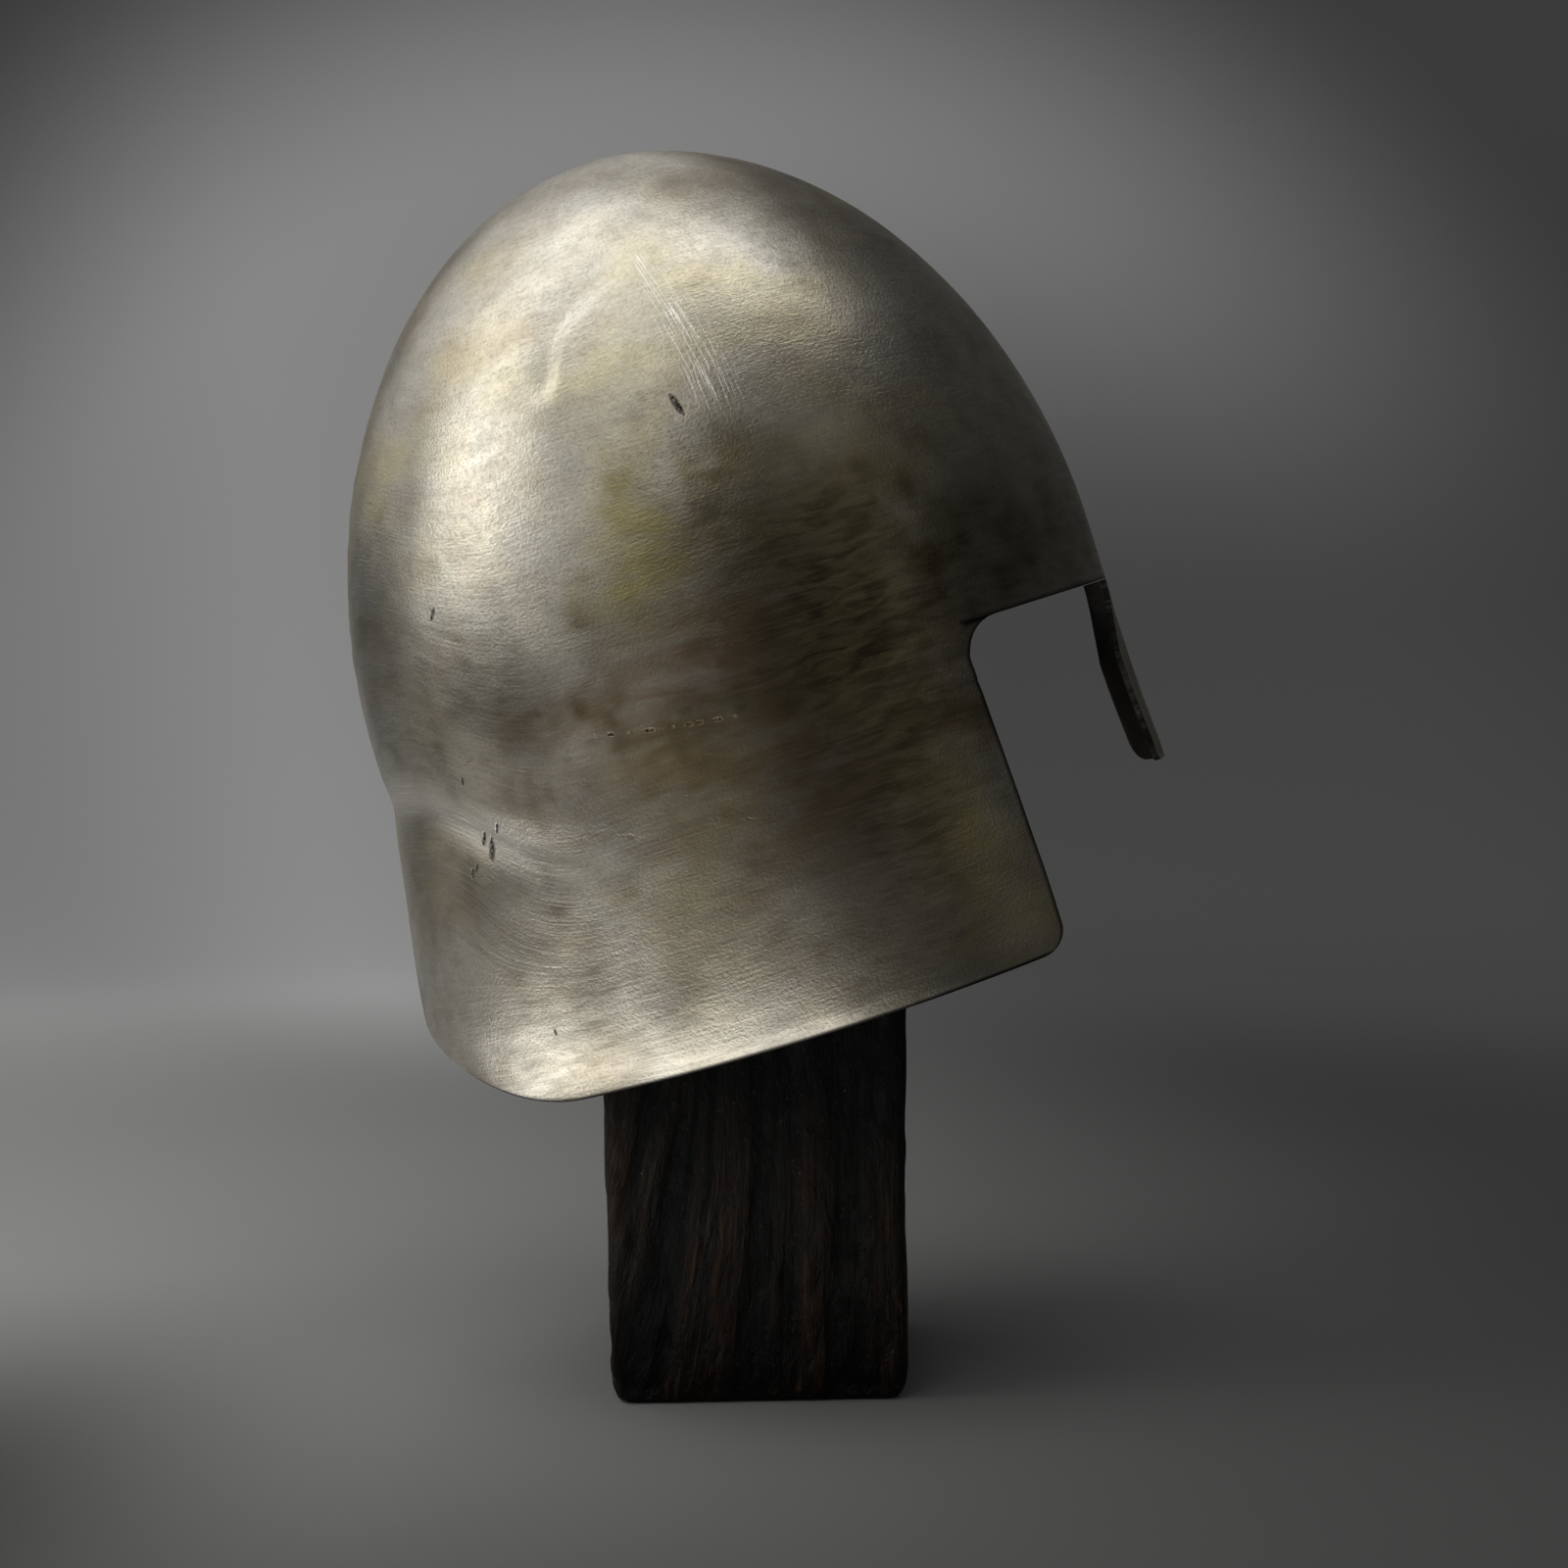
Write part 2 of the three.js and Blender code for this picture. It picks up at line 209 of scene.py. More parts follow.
def to_row(points):
    """From the helm's frame in millimetres to the part's frame in metres."""
    x, y, z = np.asarray(points, float).T
    tipped = [x * math.cos(TILT) - z * math.sin(TILT), y, x * math.sin(TILT) + z * math.cos(TILT)]
    return (np.stack(tipped, axis=-1) + HELM_AT) / 1000


def from_row(points):
    """From the part's frame in metres to the helm's frame in millimetres."""
    x, y, z = (np.asarray(points, float) * 1000 - HELM_AT).T
    upright = [x * math.cos(TILT) + z * math.sin(TILT), y, z * math.cos(TILT) - x * math.sin(TILT)]
    return np.stack(upright, axis=1)


# ---- Meshes ------------------------------------------------------


def add_mesh(name, points, faces, materials, kinds=None):
    mesh = bpy.data.meshes.new(name)
    mesh.from_pydata(np.asarray(points, float).tolist(), [], faces)
    for material in materials:
        mesh.materials.append(material)
    if kinds is not None:
        mesh.polygons.foreach_set("material_index", np.asarray(kinds, np.int32))
    mesh.polygons.foreach_set("use_smooth", [True] * len(mesh.polygons))
    mesh.update()
    thing = bpy.data.objects.new(name, mesh)
    bpy.context.scene.collection.objects.link(thing)
    return thing


def keep(thing, copies=1, **layers):
    """Stores named vectors on the mesh's points, which may be several sheets of the same ones."""
    for name, values in layers.items():
        layer = thing.data.attributes.new(name, "FLOAT_VECTOR", "POINT")
        every = np.tile(np.asarray(values, np.float32), (copies, 1))
        layer.data.foreach_set("vector", every.ravel())


def settle(thing, body, slot, *nodes):
    """The piece moves with a body and stands for these CAD nodes, which it hides; slot is not used."""
    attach(thing, body)
    if nodes:
        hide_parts(*nodes)


def modifier(thing, kind, **settings):
    made = thing.modifiers.new(kind.title(), kind)
    for key, value in settings.items():
        setattr(made, key, value)
    return made


def apply_modifiers(thing):
    graph = bpy.context.evaluated_depsgraph_get()
    mesh = bpy.data.meshes.new_from_object(thing.evaluated_get(graph))
    thing.modifiers.clear()
    old = thing.data
    thing.data = mesh
    bpy.data.meshes.remove(old)


def tidy_normals(thing):
    made = bmesh.new()
    made.from_mesh(thing.data)
    bmesh.ops.recalc_face_normals(made, faces=made.faces)
    made.to_mesh(thing.data)
    made.free()


def quads_between(upper, lower):
    return [
        (upper[i], lower[i], lower[i + 1], upper[i + 1])
        for i in range(len(upper) - 1)
    ]


def net(rows, columns, closed=False, wrapped=True):
    """Quads of a net of points that are stored row after row."""
    faces = []
    for r in range(rows if closed else rows - 1):
        s = (r + 1) % rows
        for i in range(columns if wrapped else columns - 1):
            j = (i + 1) % columns
            faces.append((r * columns + i, r * columns + j, s * columns + j, s * columns + i))
    return faces


def point_normals(points, faces):
    total = np.zeros_like(points)
    for size in (3, 4):
        group = np.array([f for f in faces if len(f) == size])
        if not len(group):
            continue
        a, b, c = points[group[:, 0]], points[group[:, 1]], points[group[:, 2]]
        d = points[group[:, -1]]
        out = np.cross(b - a, c - a) + (np.cross(c - a, d - a) if size == 4 else 0)
        for k in range(size):
            np.add.at(total, group[:, k], out)
    return total / np.maximum(1e-12, np.linalg.norm(total, axis=1, keepdims=True))


def plate(points, faces, out, thickness):
    """A closed plate from its outer sheet: points, faces and kinds (0 out, 1 in, 2 edge)."""
    offset = len(points)
    every = np.vstack([points, points - out * thickness])
    body = list(faces) + [tuple(offset + i for i in reversed(f)) for f in faces]
    kinds = [0] * len(faces) + [1] * len(faces)
    edges = {(f[k], f[(k + 1) % len(f)]) for f in faces for k in range(len(f))}
    for a, b in sorted(edges):
        if (b, a) not in edges:
            body.append((b, a, a + offset, b + offset))
            kinds.append(2)
    return every, body, kinds


def tube(path, radius, sides=8, closed=False):
    """Points and faces of a round tube along a path, capped at its ends unless it closes."""
    path = np.asarray(path, float)
    count = len(path)
    if closed:
        way = np.roll(path, -1, axis=0) - np.roll(path, 1, axis=0)
    else:
        way = np.gradient(path, axis=0)
    way /= np.linalg.norm(way, axis=1, keepdims=True)
    side = np.cross(way[0], [0.3, 0.5, 0.81])
    points = []
    for i in range(count):
        side = side - way[i] * (side @ way[i])
        side /= np.linalg.norm(side)
        other = np.cross(way[i], side)
        turn = np.arange(sides) * 2 * math.pi / sides
        points.append(path[i] + radius * (np.outer(np.cos(turn), side) + np.outer(np.sin(turn), other)))
    faces = net(count, sides, closed)
    if not closed:
        faces.append(tuple(reversed(range(sides))))
        faces.append(tuple((count - 1) * sides + k for k in range(sides)))
    return np.vstack(points), faces


def gather(parts):
    """Several (points, faces) as one."""
    points, faces, offset = [], [], 0
    for some, their in parts:
        points.append(some)
        faces += [tuple(offset + i for i in f) for f in their]
        offset += len(some)
    return np.vstack(points), faces


# ---- Materials ---------------------------------------------------


class Paint:
    """A procedural material: short names for the nodes that it is made of."""

    def __init__(self, name):
        self.material = bpy.data.materials.new(name)
        self.material.use_nodes = True
        self.tree = self.material.node_tree
        self.shader = self.tree.nodes["Principled BSDF"]

    def node(self, kind, *inputs, out=0, **settings):
        made = self.tree.nodes.new("ShaderNode" + kind)
        for key, value in settings.items():
            setattr(made, key, value)
        for index, value in enumerate(inputs):
            if value is not None:
                self.put(made.inputs[index], value)
        return made.outputs[out]

    def put(self, socket, value):
        if isinstance(value, bpy.types.NodeSocket):
            self.tree.links.new(value, socket)
        elif isinstance(value, (tuple, list)) and len(value) == 3 and socket.type == "RGBA":
            socket.default_value = (*value, 1)
        else:
            socket.default_value = value

    def set(self, **values):
        for key, value in values.items():
            self.put(self.shader.inputs[key.replace("_", " ")], value)

    def stored(self, name):
        return self.node("Attribute", attribute_name=name, out=1)

    def parts(self, vector):
        made = self.node("SeparateXYZ", vector).node
        return made.outputs[0], made.outputs[1], made.outputs[2]

    def joined(self, x, y, z):
        return self.node("CombineXYZ", x, y, z)

    def math(self, operation, a, b=None, c=None, clamp=False):
        return self.node("Math", a, b, c, operation=operation, use_clamp=clamp)

    def times(self, a, b, clamp=False):
        return self.math("MULTIPLY", a, b, clamp=clamp)

    def plus(self, a, b, clamp=False):
        return self.math("ADD", a, b, clamp=clamp)

    def vector(self, operation, a, b=None, out=0):
        return self.node("VectorMath", a, b, operation=operation, out=out)

    def scaled(self, vector, x, y, z):
        return self.vector("MULTIPLY", vector, (x, y, z))

    def noise(self, vector, scale, detail=2.0, rough=0.5, twist=0.0):
        made = self.node("TexNoise", normalize=True).node
        self.put(made.inputs["Vector"], vector)
        self.put(made.inputs["Scale"], scale)
        self.put(made.inputs["Detail"], detail)
        self.put(made.inputs["Roughness"], rough)
        self.put(made.inputs["Distortion"], twist)
        return made.outputs[0]

    def between(self, value, low, high, start=0.0, end=1.0):
        return self.node(
            "MapRange", value, low, high, start, end, interpolation_type="SMOOTHSTEP"
        )

    def blend(self, share, a, b):
        made = self.node("Mix", data_type="RGBA").node
        self.put(made.inputs[0], share)
        self.put(made.inputs[6], a)
        self.put(made.inputs[7], b)
        return made.outputs[2]

    def bump(self, height, distance, normal=None):
        made = self.node("Bump").node
        self.put(made.inputs["Distance"], distance / 1000)
        self.put(made.inputs["Height"], height)
        if normal is not None:
            self.put(made.inputs["Normal"], normal)
        return made.outputs[0]

    def stroke(self, place, start, end, width):
        """1 on a short straight line of the surface and 0 away from it."""
        start, end = Vector(start), Vector(end)
        way = end - start
        away = self.vector("SUBTRACT", place, tuple(start))
        share = self.vector("DOT_PRODUCT", away, tuple(way / way.length_squared), out=1)
        share = self.plus(share, 0.0, clamp=True)
        foot = self.node("VectorMath", tuple(way), operation="SCALE")
        self.put(foot.node.inputs["Scale"], share)
        gap = self.vector("DISTANCE", away, foot, out=1)
        taper = self.math("ABSOLUTE", self.math("MULTIPLY_ADD", share, 2.0, -1.0))
        taper = self.math("POWER", taper, 3.0)
        gap = self.plus(gap, self.times(taper, width * 0.55))
        return self.between(gap, width, width * 0.35)


def most(paint, values):
    """The largest of several values."""
    total = values[0]
    for value in values[1:]:
        total = paint.math("MAXIMUM", total, value)
    return total


# Short marks in the near side of the bowl, in the helm's frame: start, end and width. CRACK is
# a row of pits from point to point, and GRAIN is how deep the grinding marks are.
NICKS = [
    ((-0.8, -92.4, 186.5), (1.2, -94.0, 179.0), 1.3),
    ((-86.2, -62.5, 147.5), (-84.3, -64.5, 151.5), 1.0),
    ((-84.0, -65.0, 151.0), (-83.0, -66.0, 153.0), 0.8),
    ((-90.6, -62.4, 74.0), (-89.4, -63.6, 82.0), 1.5),
    ((-92.4, -61.0, 80.0), (-91.2, -62.0, 84.0), 1.1),
    ((-87.6, -65.0, 82.0), (-86.0, -66.5, 85.5), 0.8),
    ((-98.4, -56.0, 71.5), (-97.4, -57.0, 74.5), 1.1),
    ((-96.4, -57.8, 73.0), (-95.6, -58.6, 75.5), 0.8),
    ((-92.4, -60.0, 98.5), (-91.8, -60.5, 101.5), 0.8),
    ((-88.0, -69.0, 20.8), (-88.0, -69.0, 22.8), 0.6),
    ((-88.4, -65.6, 59.0), (-88.0, -66.0, 59.8), 0.8),
]
CREASES = [
    ((-58.0, -85.0, 74.5), (-40.0, -92.0, 67.0), 0.8),
    ((-66.0, -80.5, 92.0), (-52.0, -88.0, 88.0), 0.9),
    ((-46.0, -90.0, 83.0), (-28.0, -95.5, 76.0), 0.7),
    ((-18.0, -99.4, 117.5), (4.0, -101.0, 112.5), 0.9),
    ((-20.0, -98.6, 123.0), (-4.0, -100.4, 121.0), 0.7),
    ((-30.0, -95.0, 71.0), (-12.0, -98.4, 65.0), 0.7),
    ((-16.0, -98.0, 52.0), (4.0, -98.6, 46.0), 0.8),
    ((-86.0, -66.5, 104.5), (-100.0, -52.0, 107.5), 0.8),
]
CRACK = [(-52.0, -88.2, 101.5), (-41.0, -92.6, 99.0), (-30.0, -96.2, 97.0), (-8.0, -100.4, 94.0)]
GRAIN = 0.11


def steel_paint(name):
    """Ground and hand-polished steel. Its stains, brushing and scratches follow the plate."""
    paint = Paint(name)
    place = paint.stored("place")
    tone = paint.parts(paint.stored("tone"))
    wear = paint.parts(paint.stored("wear"))
    flow = paint.stored("flow")
    crown = paint.parts(flow)[2]
    score = paint.parts(paint.stored("score"))

    # Clouds, smears, grain and brushing lines, which the rest is made from.
    cloud = paint.noise(place, 0.032, 3.0, 0.55, 0.4)
    mottle = paint.noise(paint.scaled(flow, 0.45, 1.0, 0.0), 0.085, 5.0, 0.62, 0.5)
    smear = paint.noise(paint.scaled(flow, 0.3, 1.0, 0.0), 0.26, 4.0, 0.6, 0.6)
    pebble = paint.noise(place, 0.5, 4.0, 0.66)
    smear = paint.node("Mix", paint.times(crown, 0.6), None, smear, pebble, data_type="FLOAT")
    grain = paint.noise(place, 1.1, 2.0, 0.6)
    brush = paint.noise(paint.scaled(flow, 0.07, 1.0, 0.0), 1.25, 2.0, 0.6)
    lines = paint.noise(paint.scaled(flow, 0.016, 1.0, 0.0), 2.2, 2.0, 0.55)

    # Steel with brown, olive and nearly black oxide over it, and painted shade over the middle of the near
    # flank.
    brown = paint.times(tone[0], paint.between(mottle, 0.38, 0.62, 0.55, 1.25), clamp=True)
    olive = paint.times(tone[1], paint.between(mottle, 0.62, 0.38, 0.5, 1.3), clamp=True)
    dark = paint.times(tone[2], paint.between(smear, 0.36, 0.64, 0.88, 1.08), clamp=True)

    colour = paint.blend(paint.between(cloud, 0.38, 0.62), (0.585, 0.56, 0.495), (0.62, 0.575, 0.475))
    colour = paint.blend(paint.between(mottle, 0.42, 0.64, 0.0, 0.34), colour, (0.4, 0.365, 0.3))
    colour = paint.blend(paint.between(smear, 0.42, 0.64, 0.0, 0.3), colour, (0.34, 0.315, 0.265))
    fleck = paint.plus(grain, paint.math("MULTIPLY_ADD", brush, 0.6, -0.3))
    colour = paint.blend(paint.between(fleck, 0.5, 0.3, 0.0, 0.34), colour, (0.22, 0.2, 0.165))
    colour = paint.blend(paint.between(fleck, 0.55, 0.75, 0.0, 0.22), colour, (0.85, 0.82, 0.74))
    colour = paint.blend(brown, colour, (0.31, 0.225, 0.14))
    colour = paint.blend(olive, colour, (0.54, 0.47, 0.24))
    colour = paint.blend(dark, colour, (0.052, 0.041, 0.024))
    freckle = paint.times(paint.between(pebble, 0.6, 0.74), 0.16)
    colour = paint.blend(freckle, colour, (0.16, 0.135, 0.1))

    # Bare metal in the brushing, the stray scratches and the rubbed edges, with a painted highlight on the
    # brushed band below the nape's waist.
    bright_line = paint.between(lines, 0.5, 0.64)
    bright_line = paint.times(bright_line, wear[1], clamp=True)
    streak = paint.joined(paint.times(score[0], 0.045), paint.times(score[1], 1.9), 0.0)
    scratch = paint.between(paint.noise(streak, 1.0, 2.0, 0.5), 0.545, 0.6)
    scratch = paint.times(scratch, score[2], clamp=True)
    fresh = paint.math("MAXIMUM", bright_line, scratch)
    fresh = paint.math("MAXIMUM", fresh, paint.times(wear[0], 0.6))
    colour = paint.blend(paint.times(fresh, 0.85), colour, (0.9, 0.88, 0.82))

    # Nicks, the dotted crack and faint creases, and the black rim over all.
    nick = most(paint, [paint.stroke(place, *mark) for mark in NICKS])
    wander = paint.node("TexNoise").node
    paint.put(wander.inputs["Vector"], place)
    paint.put(wander.inputs["Scale"], 0.16)
    wander = paint.vector("SUBTRACT", wander.outputs["Color"], (0.5, 0.5, 0.5))
    strayed = paint.vector("ADD", place, paint.scaled(wander, 5.0, 5.0, 5.0))
    crease = most(paint, [paint.stroke(strayed, *mark) for mark in CREASES])
    crack = most(paint, [paint.stroke(place, a, b, 0.75) for a, b in zip(CRACK, CRACK[1:])])
    beads = paint.between(paint.noise(paint.scaled(place, 1, 1, 0.2), 0.36, 1.0), 0.46, 0.58)
    crack = paint.times(crack, paint.plus(beads, 0.08, clamp=True))
    hollow = paint.math("MAXIMUM", nick, crack)
    ragged = paint.between(paint.noise(place, 1.4, 3.0, 0.7), 0.32, 0.6, 0.35, 1.0)
    hollow = paint.times(hollow, ragged, clamp=True)
    crease = paint.times(crease, paint.between(pebble, 0.4, 0.62, 0.0, 0.6))
    colour = paint.blend(crease, colour, (0.13, 0.095, 0.07))
    colour = paint.blend(hollow, colour, (0.014, 0.012, 0.01))
    colour = paint.blend(wear[2], colour, (0.012, 0.011, 0.01))

    # Polish, then relief.
    rough = paint.between(smear, 0.36, 0.64, 0.33, 0.4)
    rough = paint.plus(rough, paint.times(brown, 0.04))
    rough = paint.plus(rough, paint.times(dark, 0.05))
    rough = paint.plus(rough, paint.times(fresh, -0.06))
    rough = paint.plus(rough, paint.times(hollow, 0.3), clamp=True)

    level = paint.plus(grain, paint.times(brush, 0.5))
    normal = paint.bump(level, GRAIN)
    normal = paint.bump(bright_line, 0.02, normal)
    sunk = paint.plus(paint.times(hollow, -1.0), paint.times(crease, -0.3))
    sunk = paint.plus(sunk, paint.times(scratch, -0.14))
    normal = paint.bump(sunk, 0.35, normal)
    paint.set(Base_Color=colour, Metallic=1.0, Roughness=rough, Normal=normal)
    return paint.material


def inner_steel_paint():
    """The unpolished inside of the plate: brown-black scale with hammer marks."""
    paint = Paint("steel_inside")
    place = paint.stored("place")
    cloud = paint.noise(place, 0.06, 4.0, 0.6)
    speck = paint.noise(place, 0.5, 5.0, 0.7)
    colour = paint.blend(paint.between(cloud, 0.35, 0.65), (0.05, 0.045, 0.042), (0.085, 0.06, 0.045))
    colour = paint.blend(paint.between(speck, 0.55, 0.7, 0.0, 0.6), colour, (0.11, 0.07, 0.045))
    rough = paint.between(speck, 0.3, 0.7, 0.5, 0.72)
    normal = paint.bump(speck, 0.15)
    normal = paint.bump(cloud, 0.8, normal)
    paint.set(Base_Color=colour, Metallic=1.0, Roughness=rough, Normal=normal)
    return paint.material


def edge_paint():
    """The cut edge of the plate, dark with oxide and rubbed here and there."""
    paint = Paint("steel_edge")
    place = paint.stored("place")
    speck = paint.noise(place, 0.35, 4.0, 0.65)
    colour = paint.blend(paint.between(speck, 0.45, 0.7), (0.05, 0.047, 0.043), (0.2, 0.19, 0.165))
    paint.set(Base_Color=colour, Metallic=1.0, Roughness=paint.between(speck, 0.3, 0.7, 0.6, 0.4))
    paint.set(Normal=paint.bump(speck, 0.12))
    return paint.material


def leather_paint():
    paint = Paint("leather")
    place = paint.stored("place")
    cloud = paint.noise(place, 0.05, 4.0, 0.6)
    cell = paint.node("TexVoronoi", feature="DISTANCE_TO_EDGE").node
    paint.put(cell.inputs["Vector"], paint.scaled(place, 1.0, 1.0, 1.2))
    paint.put(cell.inputs["Scale"], 0.85)
    pores = paint.noise(place, 2.2, 3.0, 0.6)
    grain = paint.between(cell.outputs["Distance"], 0.0, 0.16)
    colour = paint.blend(paint.between(cloud, 0.3, 0.7), (0.085, 0.038, 0.017), (0.15, 0.073, 0.033))
    colour = paint.blend(paint.between(grain, 0.5, 0.0, 0.0, 0.5), colour, (0.035, 0.016, 0.008))
    rough = paint.between(cloud, 0.3, 0.7, 0.48, 0.68)
    normal = paint.bump(grain, 0.12)
    normal = paint.bump(pores, 0.06, normal)
    paint.set(Base_Color=colour, Roughness=rough, Normal=normal, Specular_IOR_Level=0.35)
    return paint.material


def linen_paint(name, light, deep):
    """Plain-woven undyed linen, soiled where it is handled. weave holds its two thread ways."""
    paint = Paint(name)
    place = paint.stored("place")
    over, along, _ = paint.parts(paint.stored("weave"))
    slub = paint.noise(paint.joined(paint.times(over, 0.12), along, 0.0), 1.2, 3.0, 0.6)
    warp = paint.math("SINE", paint.times(over, 2 * math.pi / 1.1))
    weft = paint.math("SINE", paint.times(along, 2 * math.pi / 1.1))
    cloth = paint.times(warp, weft)
    cloth = paint.plus(cloth, paint.times(slub, 1.2))
    soil = paint.noise(place, 0.035, 4.0, 0.6)
    fuzz = paint.noise(place, 1.8, 3.0, 0.7)
    colour = paint.blend(paint.between(soil, 0.34, 0.66), light, deep)
    colour = paint.blend(paint.between(cloth, 0.2, -1.0, 0.0, 0.45), colour, tuple(c * 0.45 for c in deep))
    colour = paint.blend(paint.between(fuzz, 0.55, 0.75, 0.0, 0.3), colour, tuple(c * 1.15 for c in light))
    normal = paint.bump(cloth, 0.16)
    normal = paint.bump(fuzz, 0.1, normal)
    rough = paint.between(slub, 0.3, 0.7, 0.84, 0.96)
    paint.set(Base_Color=colour, Roughness=rough, Normal=normal, Specular_IOR_Level=0.2)
    paint.set(Sheen_Weight=0.25, Sheen_Roughness=0.5)
    return paint.material


def cord_paint(name, light, deep, pitch=1.1):
    """Twisted flax cord: weave holds how far along it and round it a point is."""
    paint = Paint(name)
    place = paint.stored("place")
    along, round_, _ = paint.parts(paint.stored("weave"))
    lay = paint.plus(paint.times(along, 2 * math.pi / pitch), round_)
    strand = paint.math("SINE", lay)
    fuzz = paint.noise(place, 2.4, 3.0, 0.7)
    colour = paint.blend(paint.between(strand, -1.0, 0.6), deep, light)
    colour = paint.blend(paint.between(fuzz, 0.5, 0.8, 0.0, 0.4), colour, deep)
    normal = paint.bump(strand, 0.2)
    normal = paint.bump(fuzz, 0.08, normal)
    paint.set(Base_Color=colour, Roughness=paint.between(fuzz, 0.3, 0.7, 0.8, 0.95))
    paint.set(Normal=normal, Specular_IOR_Level=0.2)
    return paint.material


def timber_paint():
    """Charred and oiled softwood: hard ridges stand proud, brown shows where it is rubbed."""
    paint = Paint("charred_timber")
    place = paint.stored("place")
    flow = paint.stored("flow")
    tone = paint.parts(paint.stored("tone"))
    fibre = paint.noise(paint.scaled(flow, 1.0, 1.0, 0.04), 0.75, 4.0, 0.66, 0.3)
    ring = paint.noise(paint.scaled(flow, 1.0, 1.0, 0.05), 0.11, 3.0, 0.5)
    crackle = paint.noise(paint.scaled(flow, 1.0, 1.0, 0.32), 0.3, 4.0, 0.7, 0.8)
    painted_glints = paint.noise(place, 0.9, 3.0, 0.7)
    colour = paint.blend(paint.between(ring, 0.4, 0.6), (0.0018, 0.0013, 0.0009), (0.011, 0.0056, 0.0027))
    colour = paint.blend(paint.between(fibre, 0.52, 0.62, 0.0, 0.8), colour, (0.046, 0.023, 0.0105))
    colour = paint.blend(tone[1], (0.0015, 0.0013, 0.0012), colour)
    colour = paint.blend(paint.between(crackle, 0.5, 0.4, 0.0, 0.8), colour, (0.0018, 0.0016, 0.0015))
    # tone[2] is painted shadow from the helm over the top of the block.
    colour = paint.blend(tone[2], colour, (0.0016, 0.0015, 0.0014))
    rubbed = paint.times(tone[0], paint.between(fibre, 0.4, 0.66, 0.25, 1.0))
    colour = paint.blend(rubbed, colour, (0.095, 0.05, 0.028))
    # Painted glints: sparse pale specks on the char.
    colour = paint.blend(paint.between(painted_glints, 0.68, 0.74, 0.0, 0.7), colour, (0.16, 0.135, 0.1))
    rough = paint.between(crackle, 0.38, 0.62, 0.36, 0.62)
    rough = paint.plus(rough, paint.times(tone[2], 0.25))
    normal = paint.bump(fibre, 0.7)
    normal = paint.bump(crackle, 1.8, normal)
    normal = paint.bump(painted_glints, 0.1, normal)
    paint.set(Base_Color=colour, Roughness=rough, Normal=normal, Specular_IOR_Level=0.14)
    return paint.material


def floor_paint():
    """A matt stage whose wall glows a little, most at the left and above, less to the right."""
    paint = Paint("pale_stage")
    where = paint.node("TexCoord", out=3)
    x, y, z = paint.parts(where)
    away = paint.vector("LENGTH", where, out=1)
    share = paint.math("DIVIDE", x, away)
    left = paint.between(share, 0.2, -0.25)
    high = paint.between(z, 0.3, 1.15)
    bright = paint.math("MULTIPLY_ADD", high, 0.015, 0.203)
    dim = paint.math("MULTIPLY_ADD", high, 0.16, 0.02)
    glow = paint.node("Mix", left, None, dim, bright, data_type="FLOAT")
    glow = paint.times(glow, paint.between(away, 0.45, 1.1))
    glow = paint.times(glow, paint.between(y, -0.5, 1.0, 0.2, 1.0))
    corner = paint.vector("LENGTH", paint.joined(x, paint.plus(z, -0.2), 0.0), out=1)
    glow = paint.times(glow, paint.between(corner, 0.75, 1.3, 1.0, 0.1))
    glow = paint.times(glow, paint.between(share, -0.42, -0.22, 0.72, 1.0))
    cloud = paint.noise(where, 0.7, 3.0, 0.5)
    colour = paint.blend(paint.between(cloud, 0.3, 0.7), (0.35, 0.35, 0.347), (0.38, 0.38, 0.377))
    # Painted shade: the floor is darker to the right, towards the camera and in the near left corner; further
    # out it turns a darker grey.
    colour = paint.blend(paint.between(x, -0.35, 0.4), colour, (0.09, 0.09, 0.09))
    colour = paint.blend(paint.between(y, 0.04, -0.25, 0.0, 0.8), colour, (0.09, 0.09, 0.09))
    shaded_near_corner = paint.times(paint.between(x, -0.1, -0.24), paint.between(y, 0.15, -0.15))
    colour = paint.blend(shaded_near_corner, colour, (0.06, 0.06, 0.06))
    colour = paint.blend(paint.between(away, 0.5, 1.6), colour, (0.2, 0.2, 0.2))
    paint.set(Base_Color=colour, Roughness=0.9, Specular_IOR_Level=0.1)
    paint.set(Emission_Color=(1.0, 1.0, 1.0), Emission_Strength=glow)
    return paint.material


STEEL = steel_paint("ground_steel")
INSIDE = inner_steel_paint()
EDGE = edge_paint()
LEATHER = leather_paint()
LINEN = linen_paint("linen_lining", (0.47, 0.39, 0.27), (0.33, 0.25, 0.16))
THREAD = cord_paint("waxed_thread", (0.42, 0.33, 0.2), (0.2, 0.14, 0.08), 0.8)
LACE = cord_paint("flax_lace", (0.34, 0.25, 0.15), (0.14, 0.095, 0.055), 2.2)
TIMBER = timber_paint()


# ---- Skull -------------------------------------------------------


